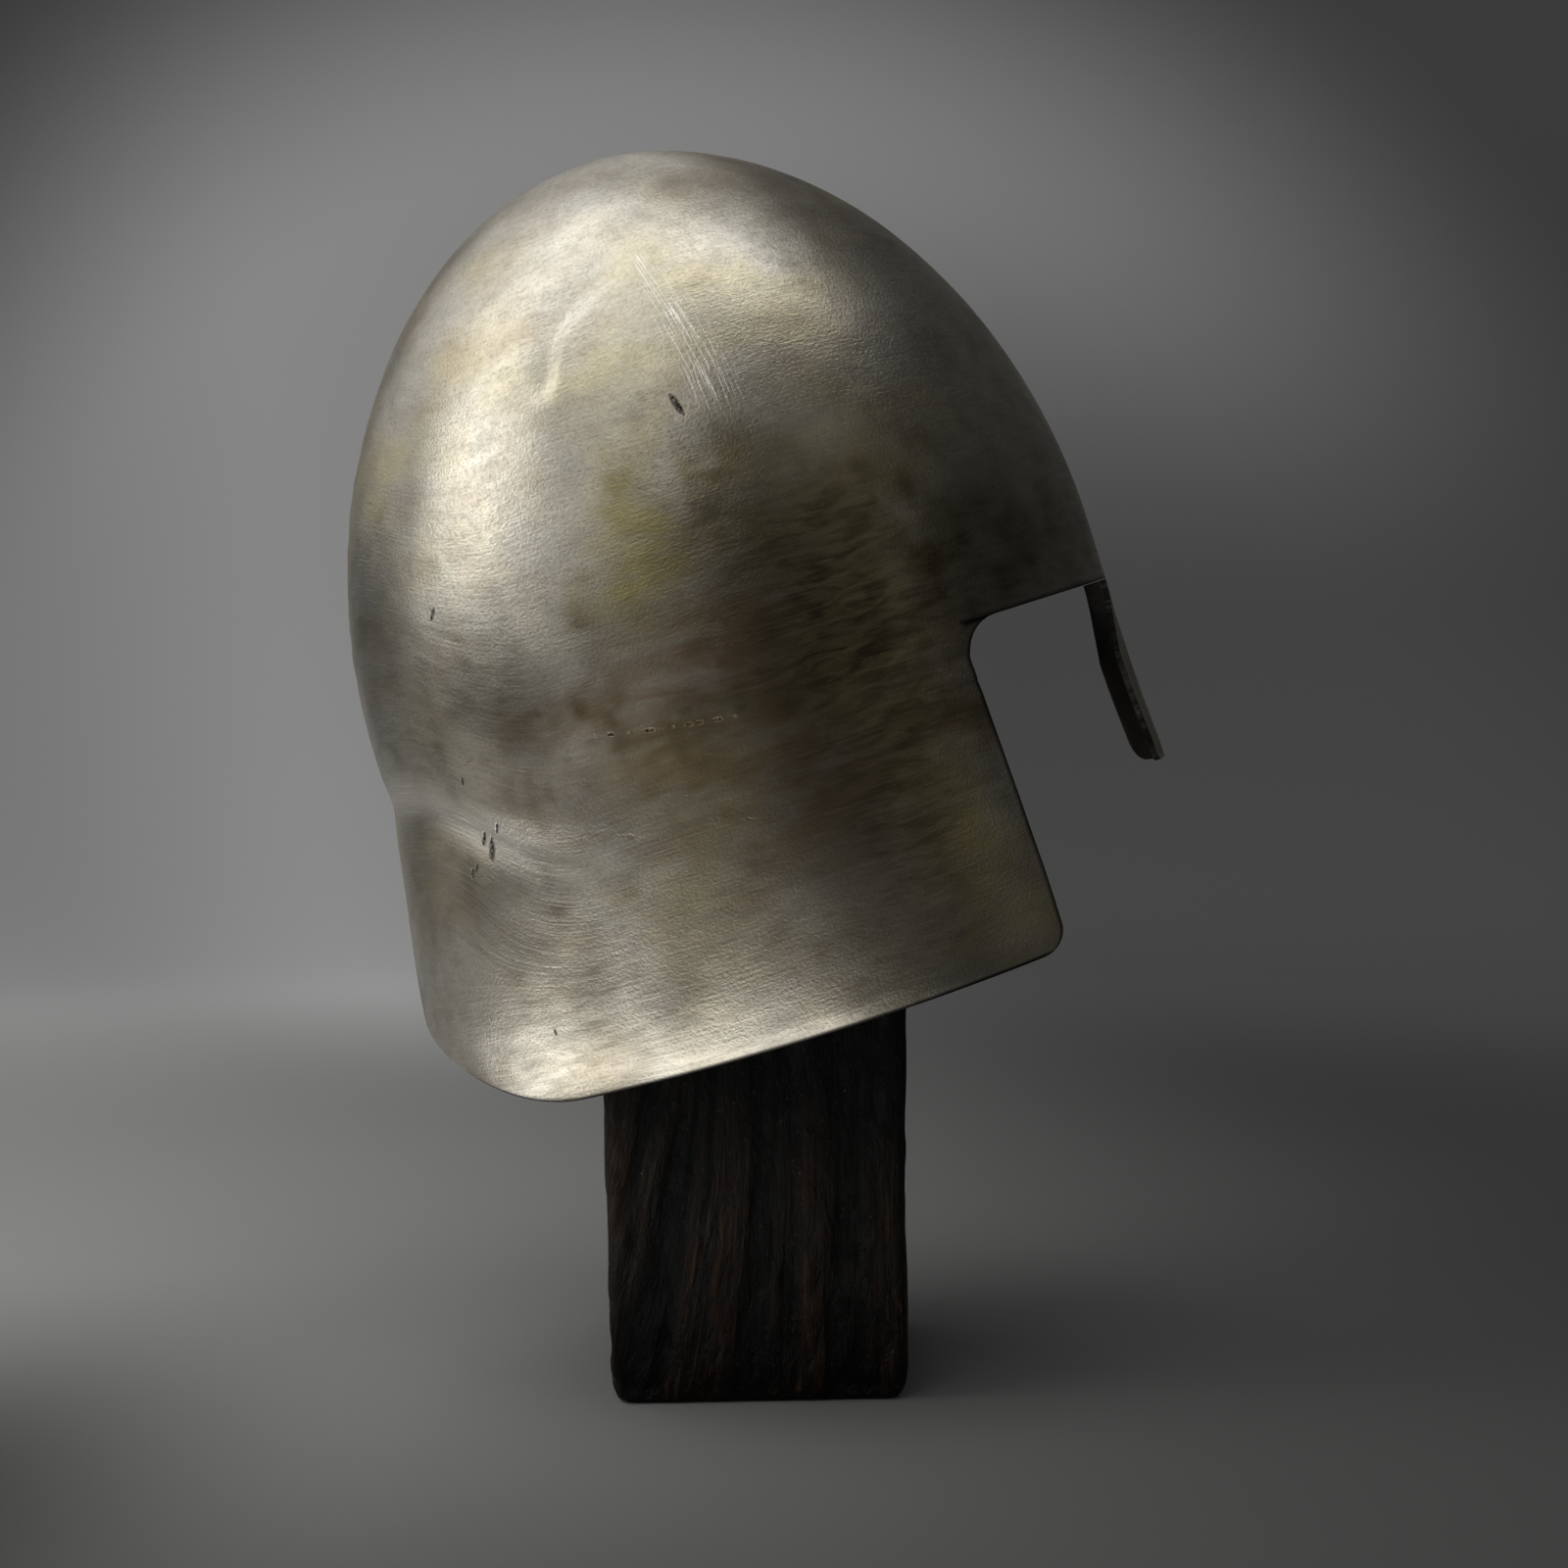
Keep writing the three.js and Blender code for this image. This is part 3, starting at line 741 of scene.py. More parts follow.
def skull_sheet():
    """Half of the skull on the wearer's left: points, the angle of each, and quads."""
    straight_top = BROW - TEMPLE_RADIUS
    fillet = BROW - TEMPLE_RADIUS * (1 - np.cos(np.linspace(0, math.pi / 2, 9)))
    straight = np.linspace(straight_top, CORNER_RADIUS, 47)[1:]
    corner = CORNER_RADIUS * (1 - np.sin(np.linspace(0, math.pi / 2, 9)[1:]))
    edge = [(h, float(cheek_line(h))) for h in np.concatenate([fillet, straight, corner])]

    temple = turn_at(*edge[0])
    brow = np.linspace(0, temple, BROW_COLUMNS + 1)
    behind = np.linspace(temple, math.pi, SKIRT_COLUMNS + 1)[1:]
    turns = np.concatenate([brow, behind])
    cap = BELT + (BOWL - BELT) * np.cos(np.linspace(0, math.pi / 2, CAP_ROWS + 1)[1:])
    levels = np.concatenate([cap, np.linspace(BELT, BROW, BELT_ROWS + 1)[1:]])

    points = [np.array([[0.0, 0.0, BOWL]])]
    angles = [np.array([math.pi / 2])]
    faces = []
    upper = [0] * len(turns)
    count = 1
    for level in levels:
        row = list(range(count, count + len(turns)))
        points.append(skin(level, turns))
        angles.append(turns)
        if upper[0] == upper[-1]:
            faces += [(0, row[i], row[i + 1]) for i in range(len(row) - 1)]
        else:
            faces += quads_between(upper, row)
        upper = row
        count += len(row)

    shares = np.linspace(0, 1, SKIRT_COLUMNS + 1)
    foot = turn_at(*edge[-1])
    rim = rim_at(skin(0.0, mix(foot, math.pi, shares))[:, 0])
    upper = upper[BROW_COLUMNS:]
    for height, x in edge[1:]:
        turn = mix(turn_at(height, x), math.pi, shares)
        level = mix(BROW, rim, (BROW - height) / BROW)
        row = list(range(count, count + len(shares)))
        points.append(skin(level, turn))
        angles.append(turn)
        faces += quads_between(upper, row)
        upper = row
        count += len(row)
    return np.vstack(points), np.concatenate(angles), faces


def nape_arc(p):
    """A coordinate that is level on the flanks and sweeps up round the nape."""
    share = (p[:, 0] + 104) / 45
    share = np.minimum(1, (share + np.sqrt(share**2 + 0.04)) / 2)
    return p[:, 2] + 30 * (1 - (1 - share) ** 2)


# Marks on the side of the helm, as paths of x and z.
CRESCENT = [(-36, 195), (-33, 201), (-28, 212), (-20, 220), (-9, 226), (3, 229)]
CRESCENT_LIP = [(-43, 209), (-38, 196)]
TEMPLE_FOLDS = (([(38, 91), (66, 89)], 0.5), ([(45, 84), (66, 82)], 0.4))
SCRATCHES = [(3, 231), (8, 210), (11, 192), (12, 174)]
FAR_SCRATCHES = [(-40, 214), (-18, 188), (-10, 160)]


def dents(p):
    """How far the hammered and dented plate stands out from the true skin, in millimetres."""
    x, y, z = p.T
    near = ramp(y, 4, -4)
    out = 0.24 * noise(p, 44, 1) + 0.1 * noise(p, 19, 2) + 0.035 * noise(p, 8, 3)
    low = ramp(z, 120, 60)
    flat = p * np.array([0.5, 0.5, 1.6])
    out += 0.12 * low * noise(flat, 20, 4)

    crest = np.exp(-((y / 3.2) ** 2)) * ramp(z, 90, 150)
    out += crest * (0.1 * noise(p, 2.8, 5) + 0.12 * noise(p, 7, 6))
    chips = ramp(noise(p, 3.4, 7), 0.35, 0.6) * np.exp(-((y / 3.0) ** 2))
    out -= 0.35 * chips * ramp(np.abs(x - 34), 26, 8) * ramp(z, 200, 240)

    away, run = to_path(x, z, CRESCENT)
    lee = np.where(away > 0, clip01(1 - away / 10) ** 1.3, clip01(1 + away / 2.6))
    fade = ramp(run, 0, 0.12) * ramp(run, 1, 0.75)
    out -= 0.85 * near * lee * fade * ramp(z, 150, 170)
    away, run = to_path(x, z, CRESCENT_LIP)
    out -= 0.22 * near * np.exp(-((away / 2.6) ** 2)) * ramp(run, 0, 0.2) * ramp(run, 1, 0.7)

    waist = nape_arc(p)
    trough = np.exp(-(((waist - 99) / 7.5) ** 2)) * ramp(x, -42, -86)
    out -= 1.1 * trough
    step = ramp(waist, 109.5, 106.0) * ramp(waist, 92, 104) * ramp(x, -70, -92)
    out -= 0.25 * step
    for path, size in TEMPLE_FOLDS:
        away, run = to_path(x, z, path)
        out -= size * np.exp(-((away / 1.7) ** 2)) * ramp(run, 0.05, 0.6) * ramp(z, 70, 76)

    above = z - rim_at(x)
    out -= 1.5 * clip01(1 - above / 38) ** 2 + 0.7 * clip01(1 - above / 7) ** 2
    out += 0.12 * ramp(above, 16, 3) * noise(p, 15, 8)
    return out


def edge_distance(p):
    """Millimetres from a point of the skin to the nearest free edge of the plate."""
    x, _, z = p.T
    rim = z - rim_at(x)
    cheek = np.where(z < BROW + 1, cheek_line(np.clip(z, 0, BROW)) - x, 1e3)
    brow = np.where(x > CHEEK_X - 4, np.abs(z - BROW), 1e3)
    return np.minimum(np.minimum(np.abs(rim), np.abs(cheek)), brow)


# Soft spots of oxide on the near side of the helm and then on its far side: how strong,
# where (x and z), half the width and height, and how far they lean.
SPOTS = {
    "brown": (
        [
            (0.9, -2, 108, 40, 26), (0.7, 0, 68, 38, 26), (0.38, -38, 92, 30, 16),
            (0.4, 44, 80, 24, 30), (0.12, -30, 40, 30, 20),
        ],
        [
            (0.6, 22, 96, 26, 30), (0.5, -44, 128, 16, 22),
        ],
    ),
    "olive": (
        [
            (1.0, -20, 152, 11, 18), (0.7, -28, 134, 13, 14), (0.8, 32, 118, 22, 34),
            (0.9, 40, 46, 15, 36, 0.2), (0.6, 18, 150, 22, 16), (0.18, -92, 190, 10, 22),
            (0.4, -34, 42, 20, 20),
        ],
        [
            (0.6, -20, 150, 14, 18), (0.6, 48, 128, 18, 26),
        ],
    ),
    "dark": (
        [
            (0.55, 14, 134, 36, 26), (0.45, 22, 104, 34, 24), (0.35, 12, 149, 26, 16),
            (0.3, 110, 112, 44, 44), (0.4, 62, 112, 34, 30), (0.65, 60, 82, 13, 36),
            (0.42, 0, 66, 34, 30), (0.6, -68, 112, 14, 20), (0.4, -58, 78, 26, 12),
            (0.4, -98, 56, 10, 20), (0.6, -72, 30, 9, 18), (0.4, -52, 22, 14, 9),
            (0.4, -96, 134, 18, 30, 0.2), (0.3, -86, 44, 8, 14), (0.2, -86, 68, 22, 9),
            (0.3, 2, 171, 30, 20), (0.35, 56, 222, 26, 9, -0.7),
        ],
        [
            (0.5, 0, 118, 24, 14), (0.5, -76, 76, 9, 16), (0.45, 40, 178, 22, 9, -0.5),
            (0.5, 84, 136, 26, 24),
        ],
    ),
}


def tones(p):
    """Shares of brown, olive and dark oxide in the steel's colour; the dark share also holds painted shade
    over the middle of the near flank.
    """
    ragged = 1 + 0.5 * noise(p, 11, 21) + 0.3 * noise(p, 4, 22)
    near = ramp(p[:, 1], 6, -6)

    def spot(x, z, wide, tall, lean=0.0):
        du, dv = p[:, 0] - x, p[:, 2] - z
        c, s = math.cos(lean), math.sin(lean)
        u, v = (du * c + dv * s) / wide, (dv * c - du * s) / tall
        return np.exp(-((u * u + v * v) * ragged))

    def spots(kind):
        sides = [sum(much * spot(*where) for much, *where in rows) for rows in SPOTS[kind]]
        return near * sides[0] + (1 - near) * sides[1]

    flank = p * np.array([0.5, 1.0, 1.0])
    brown = 0.27 * ramp(layered(p, 38, 31), -0.1, 0.4) + 0.16 * ramp(layered(flank, 9, 32), 0.0, 0.4)
    brown += spots("brown")
    olive = 0.3 * ramp(layered(p, 40, 33), 0.0, 0.4) + spots("olive")
    dark = 0.2 * ramp(layered(p, 26, 34), 0.0, 0.5) + 0.1 * ramp(layered(flank, 8, 36), 0.05, 0.5)
    dark += spots("dark")
    dark += 0.12 * ramp(p[:, 0], -62, -92) * ramp(p[:, 2], 138, 112)
    # Painted shade with oxide: a broad dark band over the middle of the near flank, below the crown.
    dark += near * 0.75 * ramp(p[:, 0], -18, 18) * ramp(p[:, 0], 56, 30) * ramp(p[:, 2], 168, 126)
    fingers = ramp(noise(p * np.array([1.0, 1.0, 0.4]), 5, 23), 0.1, 0.6)
    dark += 0.4 * fingers * spot(20, 112, 20, 18) * (0.4 + 0.6 * near)
    crest = np.exp(-((p[:, 1] / 4.5) ** 2)) * ramp(p[:, 2], 160, 230)
    dark += 0.5 * crest * ramp(layered(p, 9, 35), -0.2, 0.4)
    return np.stack([clip01(brown), clip01(olive), 1 - np.exp(-1.4 * np.maximum(0, dark))], axis=1)


def wears(p):
    """Shares of rubbed edge with a painted highlight on the brushed band below the nape's waist, of bright
    brushing, and of black rim.
    """
    away = edge_distance(p)
    rub = np.exp(-away / 1.6) * ramp(noise(p, 12, 41), -0.5, 0.5)
    waist = nape_arc(p)
    # Painted highlight: the brushed band below the nape's waist is made lighter where the flare catches the
    # light.
    nape_brushing_and_sheen = np.exp(-(((waist - 101) / 7) ** 2)) * ramp(p[:, 0], -64, -94)
    comb = 1.0 * nape_brushing_and_sheen * ramp(noise(p, 11, 42), -1.2, 0.0)
    comb += 0.2 * ramp(p[:, 2], 96, 70) * ramp(p[:, 0], 10, -60) * ramp(noise(p, 21, 43), -0.3, 0.5)
    comb += 0.04
    black = ramp(away, 1.4, 0.4)
    return np.stack([clip01(0.5 * rub + 0.9 * nape_brushing_and_sheen), clip01(comb), black], axis=1)


def flows(p, turn):
    """Along and across the level brushing, in millimetres, and the share of unbrushed crown."""
    along = 100 * (turn - np.where(turn > math.pi, 1.5, 0.5) * math.pi)
    across = mix(p[:, 2] + 30, nape_arc(p), ramp(p[:, 2], 25, 75)) + 1.6 * noise(p, 34, 51)
    return np.stack([along, across, ramp(p[:, 2], 120, 175)], axis=1)


def scores(p):
    """Along and across the bundles of stray scratches, and how strong they are."""
    near = p[:, 1] < 0
    away, run = to_path(p[:, 0], p[:, 2], SCRATCHES)
    other, other_run = to_path(p[:, 0], p[:, 2], FAR_SCRATCHES)
    away, run = np.where(near, away, other), np.where(near, run, other_run)
    width = mix(2.2, 6.5, ramp(run, 0.1, 0.6))
    strength = np.exp(-((away / width) ** 2)) * ramp(run, 0.0, 0.05) * ramp(run, 1.0, 0.8)
    strength *= np.where(near, 1.0, 0.6)
    return np.stack([run * 75, away, strength], axis=1)


def ease_edges(thing):
    """Rounds the plate's filed edges."""
    modifier(thing, "BEVEL", width=0.0005, segments=2, limit_method="ANGLE",
             angle_limit=math.radians(50), profile=0.6)


def skull_half(side, name):
    points, turn, faces = skull_sheet()
    if side < 0:
        points = points * np.array([1, -1, 1])
        turn = 2 * math.pi - turn
        faces = [tuple(reversed(f)) for f in faces]
    out = point_normals(points, faces)
    seam = np.abs(points[:, 1]) < 1e-6
    out[seam, 1] = 0
    out /= np.linalg.norm(out, axis=1, keepdims=True)
    shaped = points + out * dents(points)[:, None]
    every, body, kinds = plate(shaped, faces, out, PLATE)
    thing = add_mesh(name, to_row(every), body, [STEEL, INSIDE, EDGE], kinds)
    keep(thing, 2, place=points, tone=tones(points), wear=wears(points),
         flow=flows(points, turn), score=scores(points))
    ease_edges(thing)
    settle(thing, "helm", "steel", "skull_left_half" if side > 0 else "skull_right_half")


skull_half(1, "left_skull_plate")
skull_half(-1, "right_skull_plate")


BEAD_HALF, BEAD_THICK, NAPE_END = 1.5, 0.9, -137.0


def weld_seam():
    """The ground-down weld where the two halves meet, from the brow over to the nape."""
    front = np.linspace(BROW + 0.6, BELT, 8)[:-1]
    over = BELT + (BOWL - BELT) * np.sin(np.linspace(0, math.pi / 2, 150))
    foot = rim_at(NAPE_END) + 0.8
    down = np.concatenate([over[::-1][1:], np.linspace(BELT, foot, 60)[1:]])
    levels = np.concatenate([front, over, down])
    turns = np.concatenate([np.zeros(len(front) + len(over)), np.full(len(down), math.pi)])
    ridge = skin(levels, turns)
    ridge[:, 1] = 0
    way = np.gradient(ridge, axis=0)
    way /= np.linalg.norm(way, axis=1, keepdims=True)
    out = np.cross(way, [0, 1, 0])
    out *= np.sign(np.sum(out * (ridge - HEAD_MIDDLE), axis=1))[:, None]
    lift = dents(ridge)
    rng = np.random.default_rng(5)
    half = BEAD_HALF + 0.35 * noise(ridge, 6, 61) + 0.1 * rng.standard_normal(len(ridge))
    across = [-1.0, -0.6, -0.2, 0.2, 0.6, 1.0]
    rows = []
    for share in across:
        crown = 0.16 * (1 - share**2) - 0.22 * share**2
        rough = 0.05 * noise(ridge + [0, share * 3, 0], 1.7, 62)
        drop = np.abs(share) * half * 0.16
        offset = lift + crown + rough - drop
        rows.append(ridge + out * offset[:, None] + np.outer(half * share, [0, 1, 0]))
    points = np.vstack(rows)
    faces = net(len(across), len(ridge), wrapped=False)
    normals = point_normals(points, faces)
    if np.sum(normals * np.tile(out, (len(across), 1))) < 0:
        faces = [tuple(reversed(f)) for f in faces]
        normals = -normals
    every, body, kinds = plate(points, faces, normals, BEAD_THICK)
    thing = add_mesh("weld_seam", to_row(every), body, [STEEL] * 3, kinds)
    turn = np.where(points[:, 0] > 0, 0.0, math.pi)
    keep(thing, 2, place=points, tone=clip01(tones(points) + [0.05, 0, 0.18]),
         wear=np.tile([0.12, 0.1, 0.0], (len(points), 1)),
         flow=flows(points, turn), score=scores(points) * [1, 1, 0])
    settle(thing, "helm", "steel")


weld_seam()


# ---- Nasal -------------------------------------------------------


def nasal():
    half = NASAL_WIDTH / 2
    top = BROW - SEAM
    ridge = skin(BROW, 0.0)[0]
    side = reaches(np.array(BROW))[2]
    shares = np.sin(np.linspace(-1, 1, 33) * math.pi / 2)
    across = -shares * half
    drop = ridge - skin(BROW, np.arcsin(np.abs(across) / side))[:, 0]
    past = clip01((np.abs(across) - half + NASAL_CORNER) / NASAL_CORNER)
    corner = NASAL_CORNER * (1 - np.sqrt(1 - past**2))
    rows = []
    downs = np.linspace(0, 1, 61)
    for down in downs:
        height = mix(top, top - NASAL_LENGTH + corner, down)
        vee = NASAL_SETBACK * np.abs(shares) ** 1.08
        crease = mix(drop, vee, float(ramp(down * 2, 0, 1)))
        x = ridge + NASAL_KICK * down**2 - crease
        rows.append(np.stack([x, across, height], axis=1))
    points = np.vstack(rows)
    size = len(shares)
    faces = []
    for row in range(len(downs) - 1):
        faces += quads_between(range(row * size, (row + 1) * size), range((row + 1) * size, (row + 2) * size))
    out = point_normals(points, faces)
    if out[:, 0].mean() < 0:
        faces = [tuple(reversed(f)) for f in faces]
        out = -out
    bumps = 0.12 * noise(points, 14, 71) + 0.04 * noise(points, 5, 72)
    bumps -= 0.25 * ramp(points[:, 2], top - NASAL_LENGTH + 6, top - NASAL_LENGTH)
    shaped = points + out * bumps[:, None]
    every, body, kinds = plate(shaped, faces, out, PLATE)
    thing = add_mesh("nasal_plate", to_row(every), body, [STEEL, INSIDE, EDGE], kinds)
    wear = np.zeros_like(points)
    tip = top - NASAL_LENGTH + np.tile(corner, len(downs))
    away = np.minimum(half - np.abs(points[:, 1]), points[:, 2] - tip)
    wear[:, 0] = 0.7 * np.exp(-np.maximum(0, away) / 1.2)
    wear[:, 1] = 0.12
    keep(thing, 2, place=points, tone=clip01(tones(points) + [0.06, 0.02, 0.12]), wear=wear,
         flow=points[:, [2, 1, 0]] * [1, 1, 0], score=np.zeros_like(points))
    ease_edges(thing)
    settle(thing, "helm", "steel", "nasal")


nasal()


# ---- Lining ------------------------------------------------------


def stitches(places, ways, size=3.4, gap=4.6, radius=0.42, lift=0.0):
    """Short bent thread stitches along a line of points, each with its inward direction."""
    places, ways = np.asarray(places, float), np.asarray(ways, float)
    steps = np.linalg.norm(np.diff(places, axis=0), axis=1)
    run = np.concatenate([[0], np.cumsum(steps)])
    parts = []
    for start in np.arange(gap * 0.3, run[-1] - size, gap):
        at = start + size * np.linspace(0, 1, 6)
        line = np.stack([np.interp(at, run, places[:, k]) for k in range(3)], axis=1)
        way = np.stack([np.interp(at, run, ways[:, k]) for k in range(3)], axis=1)
        rise = np.sin(np.linspace(0, math.pi, 6)) * 0.5 - 0.35 + lift
        parts.append(tube(line + way * rise[:, None], radius, 6))
    return gather(parts)


STITCH_INSET = 4.5


def headband():
    """A leather band round the inside of the bowl, with turned edges and two rows of stitches."""
    count = 260
    turns = np.linspace(0, 2 * math.pi, count, endpoint=False)
    backed = PLATE + CLEARANCE
    face = backed + BAND_THICK
    half = BAND_THICK / 2
    turned = np.linspace(0, math.pi, 7)
    profile = [(BAND_HIGH - half * (1 - math.sin(a)), backed + half * (1 - math.cos(a))) for a in turned]
    for height in np.linspace(BAND_HIGH - 3, BAND_LOW + 3, 9):
        groove = 0.35 * math.exp(-(((height - BAND_HIGH + STITCH_INSET) / 0.8) ** 2))
        groove += 0.35 * math.exp(-(((height - BAND_LOW - STITCH_INSET) / 0.8) ** 2))
        profile.append((height, face - groove))
    profile += [(BAND_LOW + half * (1 - math.sin(a)), backed + half * (1 + math.cos(a))) for a in turned]
    rings = []
    for height, depth in profile:
        ring = under_skin(height, turns, depth)
        ease = 0.16 * noise(ring, 17, 81) if depth > backed + 1 else 0 * turns
        rings.append(under_skin(height, turns, depth - np.abs(ease)))
    points = np.vstack(rings)
    faces = net(len(rings), count, closed=True)
    thing = add_mesh("leather_headband", to_row(points), faces, [LEATHER])
    keep(thing, place=points)
    tidy_normals(thing)
    settle(thing, "helm", "leather", "liner_headband")

    fine = np.linspace(0, 2 * math.pi, 900)
    parts = []
    for height in (BAND_HIGH - STITCH_INSET, BAND_LOW + STITCH_INSET):
        line = under_skin(height, fine, face - 0.1)
        parts.append(stitches(line, under_skin(height, fine, face + 0.9) - line))
    points, faces = gather(parts)
    thread = add_mesh("headband_stitching", to_row(points), faces, [THREAD])
    weave = np.stack([points[:, 0] + points[:, 1], points[:, 2], 0 * points[:, 2]], axis=1)
    keep(thread, place=points, weave=weave)
    settle(thread, "helm", "leather")


headband()


SHRINK, SWELL, SWELL_STEPS = 0.0007, 0.0016, 20


def stuffed(name, node):
    """A pad swollen by a short cloth simulation from a slightly smaller copy of its solid."""
    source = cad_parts[node]
    mesh = source.data.copy()
    mesh.materials.clear()
    thing = bpy.data.objects.new(name, mesh)
    bpy.context.scene.collection.objects.link(thing)
    made = bmesh.new()
    made.from_mesh(mesh)
    bmesh.ops.remove_doubles(made, verts=made.verts, dist=0.00002)
    bmesh.ops.recalc_face_normals(made, faces=made.faces)
    for vert in made.verts:
        vert.normal_update()
    places = [vert.co - vert.normal * SHRINK for vert in made.verts]
    for vert, place in zip(made.verts, places):
        vert.co = place
    made.to_mesh(mesh)
    made.free()
    modifier(thing, "REMESH", mode="VOXEL", voxel_size=0.004, use_smooth_shade=True)
    apply_modifiers(thing)
    start = np.array([v.co for v in thing.data.vertices])
    cloth = modifier(thing, "CLOTH")
    for key, value in dict(
        quality=4, mass=0.3, tension_stiffness=20, compression_stiffness=20, shear_stiffness=8,
        bending_stiffness=2, use_pressure=True, uniform_pressure_force=4,
    ).items():
        setattr(cloth.settings, key, value)
    cloth.settings.effector_weights.gravity = 0
    cloth.point_cache.frame_start = 1
    cloth.point_cache.frame_end = SWELL_STEPS
    for step in range(1, SWELL_STEPS + 1):
        bpy.context.scene.frame_set(step)
    apply_modifiers(thing)
    now = np.array([v.co for v in thing.data.vertices])
    move = now - start
    far = np.linalg.norm(move, axis=1, keepdims=True)
    now = start + move * np.minimum(1, SWELL / np.maximum(far, 1e-9))
    thing.data.vertices.foreach_set("co", now.ravel())
    bpy.context.scene.frame_set(1)
    modifier(thing, "SUBSURF", levels=1, render_levels=1)
    apply_modifiers(thing)
    return thing


CHANNELS, CHANNEL_HALF, CHANNEL_DEPTH, SEWN_THICK = 4, 2.3, 3.4, 4.6
CHANNEL_SEAMS = np.arange(1, CHANNELS) / CHANNELS * 2 - 1


def inward_from(outer):
    """Unit vectors from the skin towards the middle of the head space, kept fairly level."""
    way = (HEAD_MIDDLE - outer) * [1, 1, 0.6]
    return way / np.linalg.norm(way, axis=-1, keepdims=True)


def lobe_frame(points, centre):
    """Across a lobe from -1 to 1 at its edges, and the depth of each point under the skin."""
    height = np.clip(points[:, 2], LOBE_LOW - 8, BOWL - 1)
    guess = np.full(len(points), centre)
    back, front, side = reaches(height)
    middle = -back + WAIST * (front + back)
    for _ in range(12):
        on = skin(height, guess)
        wanted = np.arctan2(points[:, 1], points[:, 0] - middle)
        have = np.arctan2(on[:, 1], on[:, 0] - middle)
        miss = (wanted - have + math.pi) % (2 * math.pi) - math.pi
        guess = guess + miss
    return (guess - centre) / (math.pi / LOBES), guess


def quilted(name, centre):
    """One lobe of the lining: stuffed, then drawn down along its sewn channels."""
    thing = stuffed("quilted_lobe_" + name, "liner_lobe_" + name)
    points = from_row(np.array([v.co for v in thing.data.vertices]))
    across, turn = lobe_frame(points, centre)
    skin_here = skin(points[:, 2].clip(LOBE_LOW - 6, BOWL - 0.6), turn)
    inward = inward_from(skin_here)
    depth = np.sum((points - skin_here) * inward, axis=1)
    sink = np.zeros(len(points))
    for seam in CHANNEL_SEAMS:
        gap = (across - seam) * math.pi / LOBES * np.linalg.norm(points[:, :2], axis=1)
        sink = np.maximum(sink, np.exp(-((gap / CHANNEL_HALF) ** 2)))
    inside = ramp(depth, 5.0, 8.0)
    ends = ramp(points[:, 2], LOBE_LOW, LOBE_LOW + 12) * ramp(points[:, 2], LOBE_TOP, LOBE_TOP - 10)
    room = np.clip(depth - SEWN_THICK, 0, CHANNEL_DEPTH)
    moved = points - inward * (sink * inside * ends * room)[:, None]
    moved += inward * (0.12 * noise(points, 6, 91) * inside)[:, None]
    thing.data.vertices.foreach_set("co", to_row(moved).ravel())
    thing.data.materials.append(LINEN)
    thing.data.polygons.foreach_set("use_smooth", [True] * len(thing.data.polygons))
    keep(thing, place=points, weave=np.stack([turn * 78, points[:, 2] * 1.25, 0 * turn], axis=1))
    thing.data.update()
    settle(thing, "helm", "linen", "liner_lobe_" + name)
    return thing


def channel_stitches(things):
    """Running stitches laid on the lobes along their sewn channels."""
    parts = []
    for thing, centre in things:
        thing_points = from_row(np.array([v.co for v in thing.data.vertices]))
        across, _ = lobe_frame(thing_points, centre)
        for seam in CHANNEL_SEAMS:
            line, ways = [], []
            for height in np.arange(LOBE_LOW + 12, LOBE_TOP - 20, 3.0):
                radius = math.hypot(*skin(height, centre)[:2])
                close = np.abs(across - seam) * math.pi / LOBES * max(radius, 20) < 2.4
                close &= np.abs(thing_points[:, 2] - height) < 2.6
                if not close.any():
                    continue
                turn = centre + seam * math.pi / LOBES
                outer = skin(height, turn)
                inward = inward_from(outer)
                depth = np.max((thing_points[close] - outer) @ inward)
                line.append(outer + inward * (depth + 0.05))
                ways.append(inward)
            if len(line) > 6:
                smooth = np.array(line)
                smooth[1:-1] = (smooth[:-2] + 2 * smooth[1:-1] + smooth[2:]) / 4
                parts.append(stitches(smooth, ways, 4.0, 6.0, 0.45, 0.15))
    points, faces = gather(parts)
    thread = add_mesh("lining_stitching", to_row(points), faces, [THREAD])
    keep(thread, place=points, weave=points[:, [2, 0, 1]] * [1, 1, 0])
    settle(thread, "helm", "linen")


LOBE_NAMES = ["front", "front_left", "back_left", "back", "back_right", "front_right"]
lobe_turns = [number * 2 * math.pi / LOBES for number in range(LOBES)]
channel_stitches([(quilted(name, turn), turn) for name, turn in zip(LOBE_NAMES, lobe_turns)])


def wound(along, sides):
    """Along and round a cord, for each point of a tube."""
    round_ = np.arange(sides) * 2 * math.pi / sides
    run = np.repeat(along, sides)
    return np.stack([run, np.tile(round_, len(along)), 0 * run], axis=1)


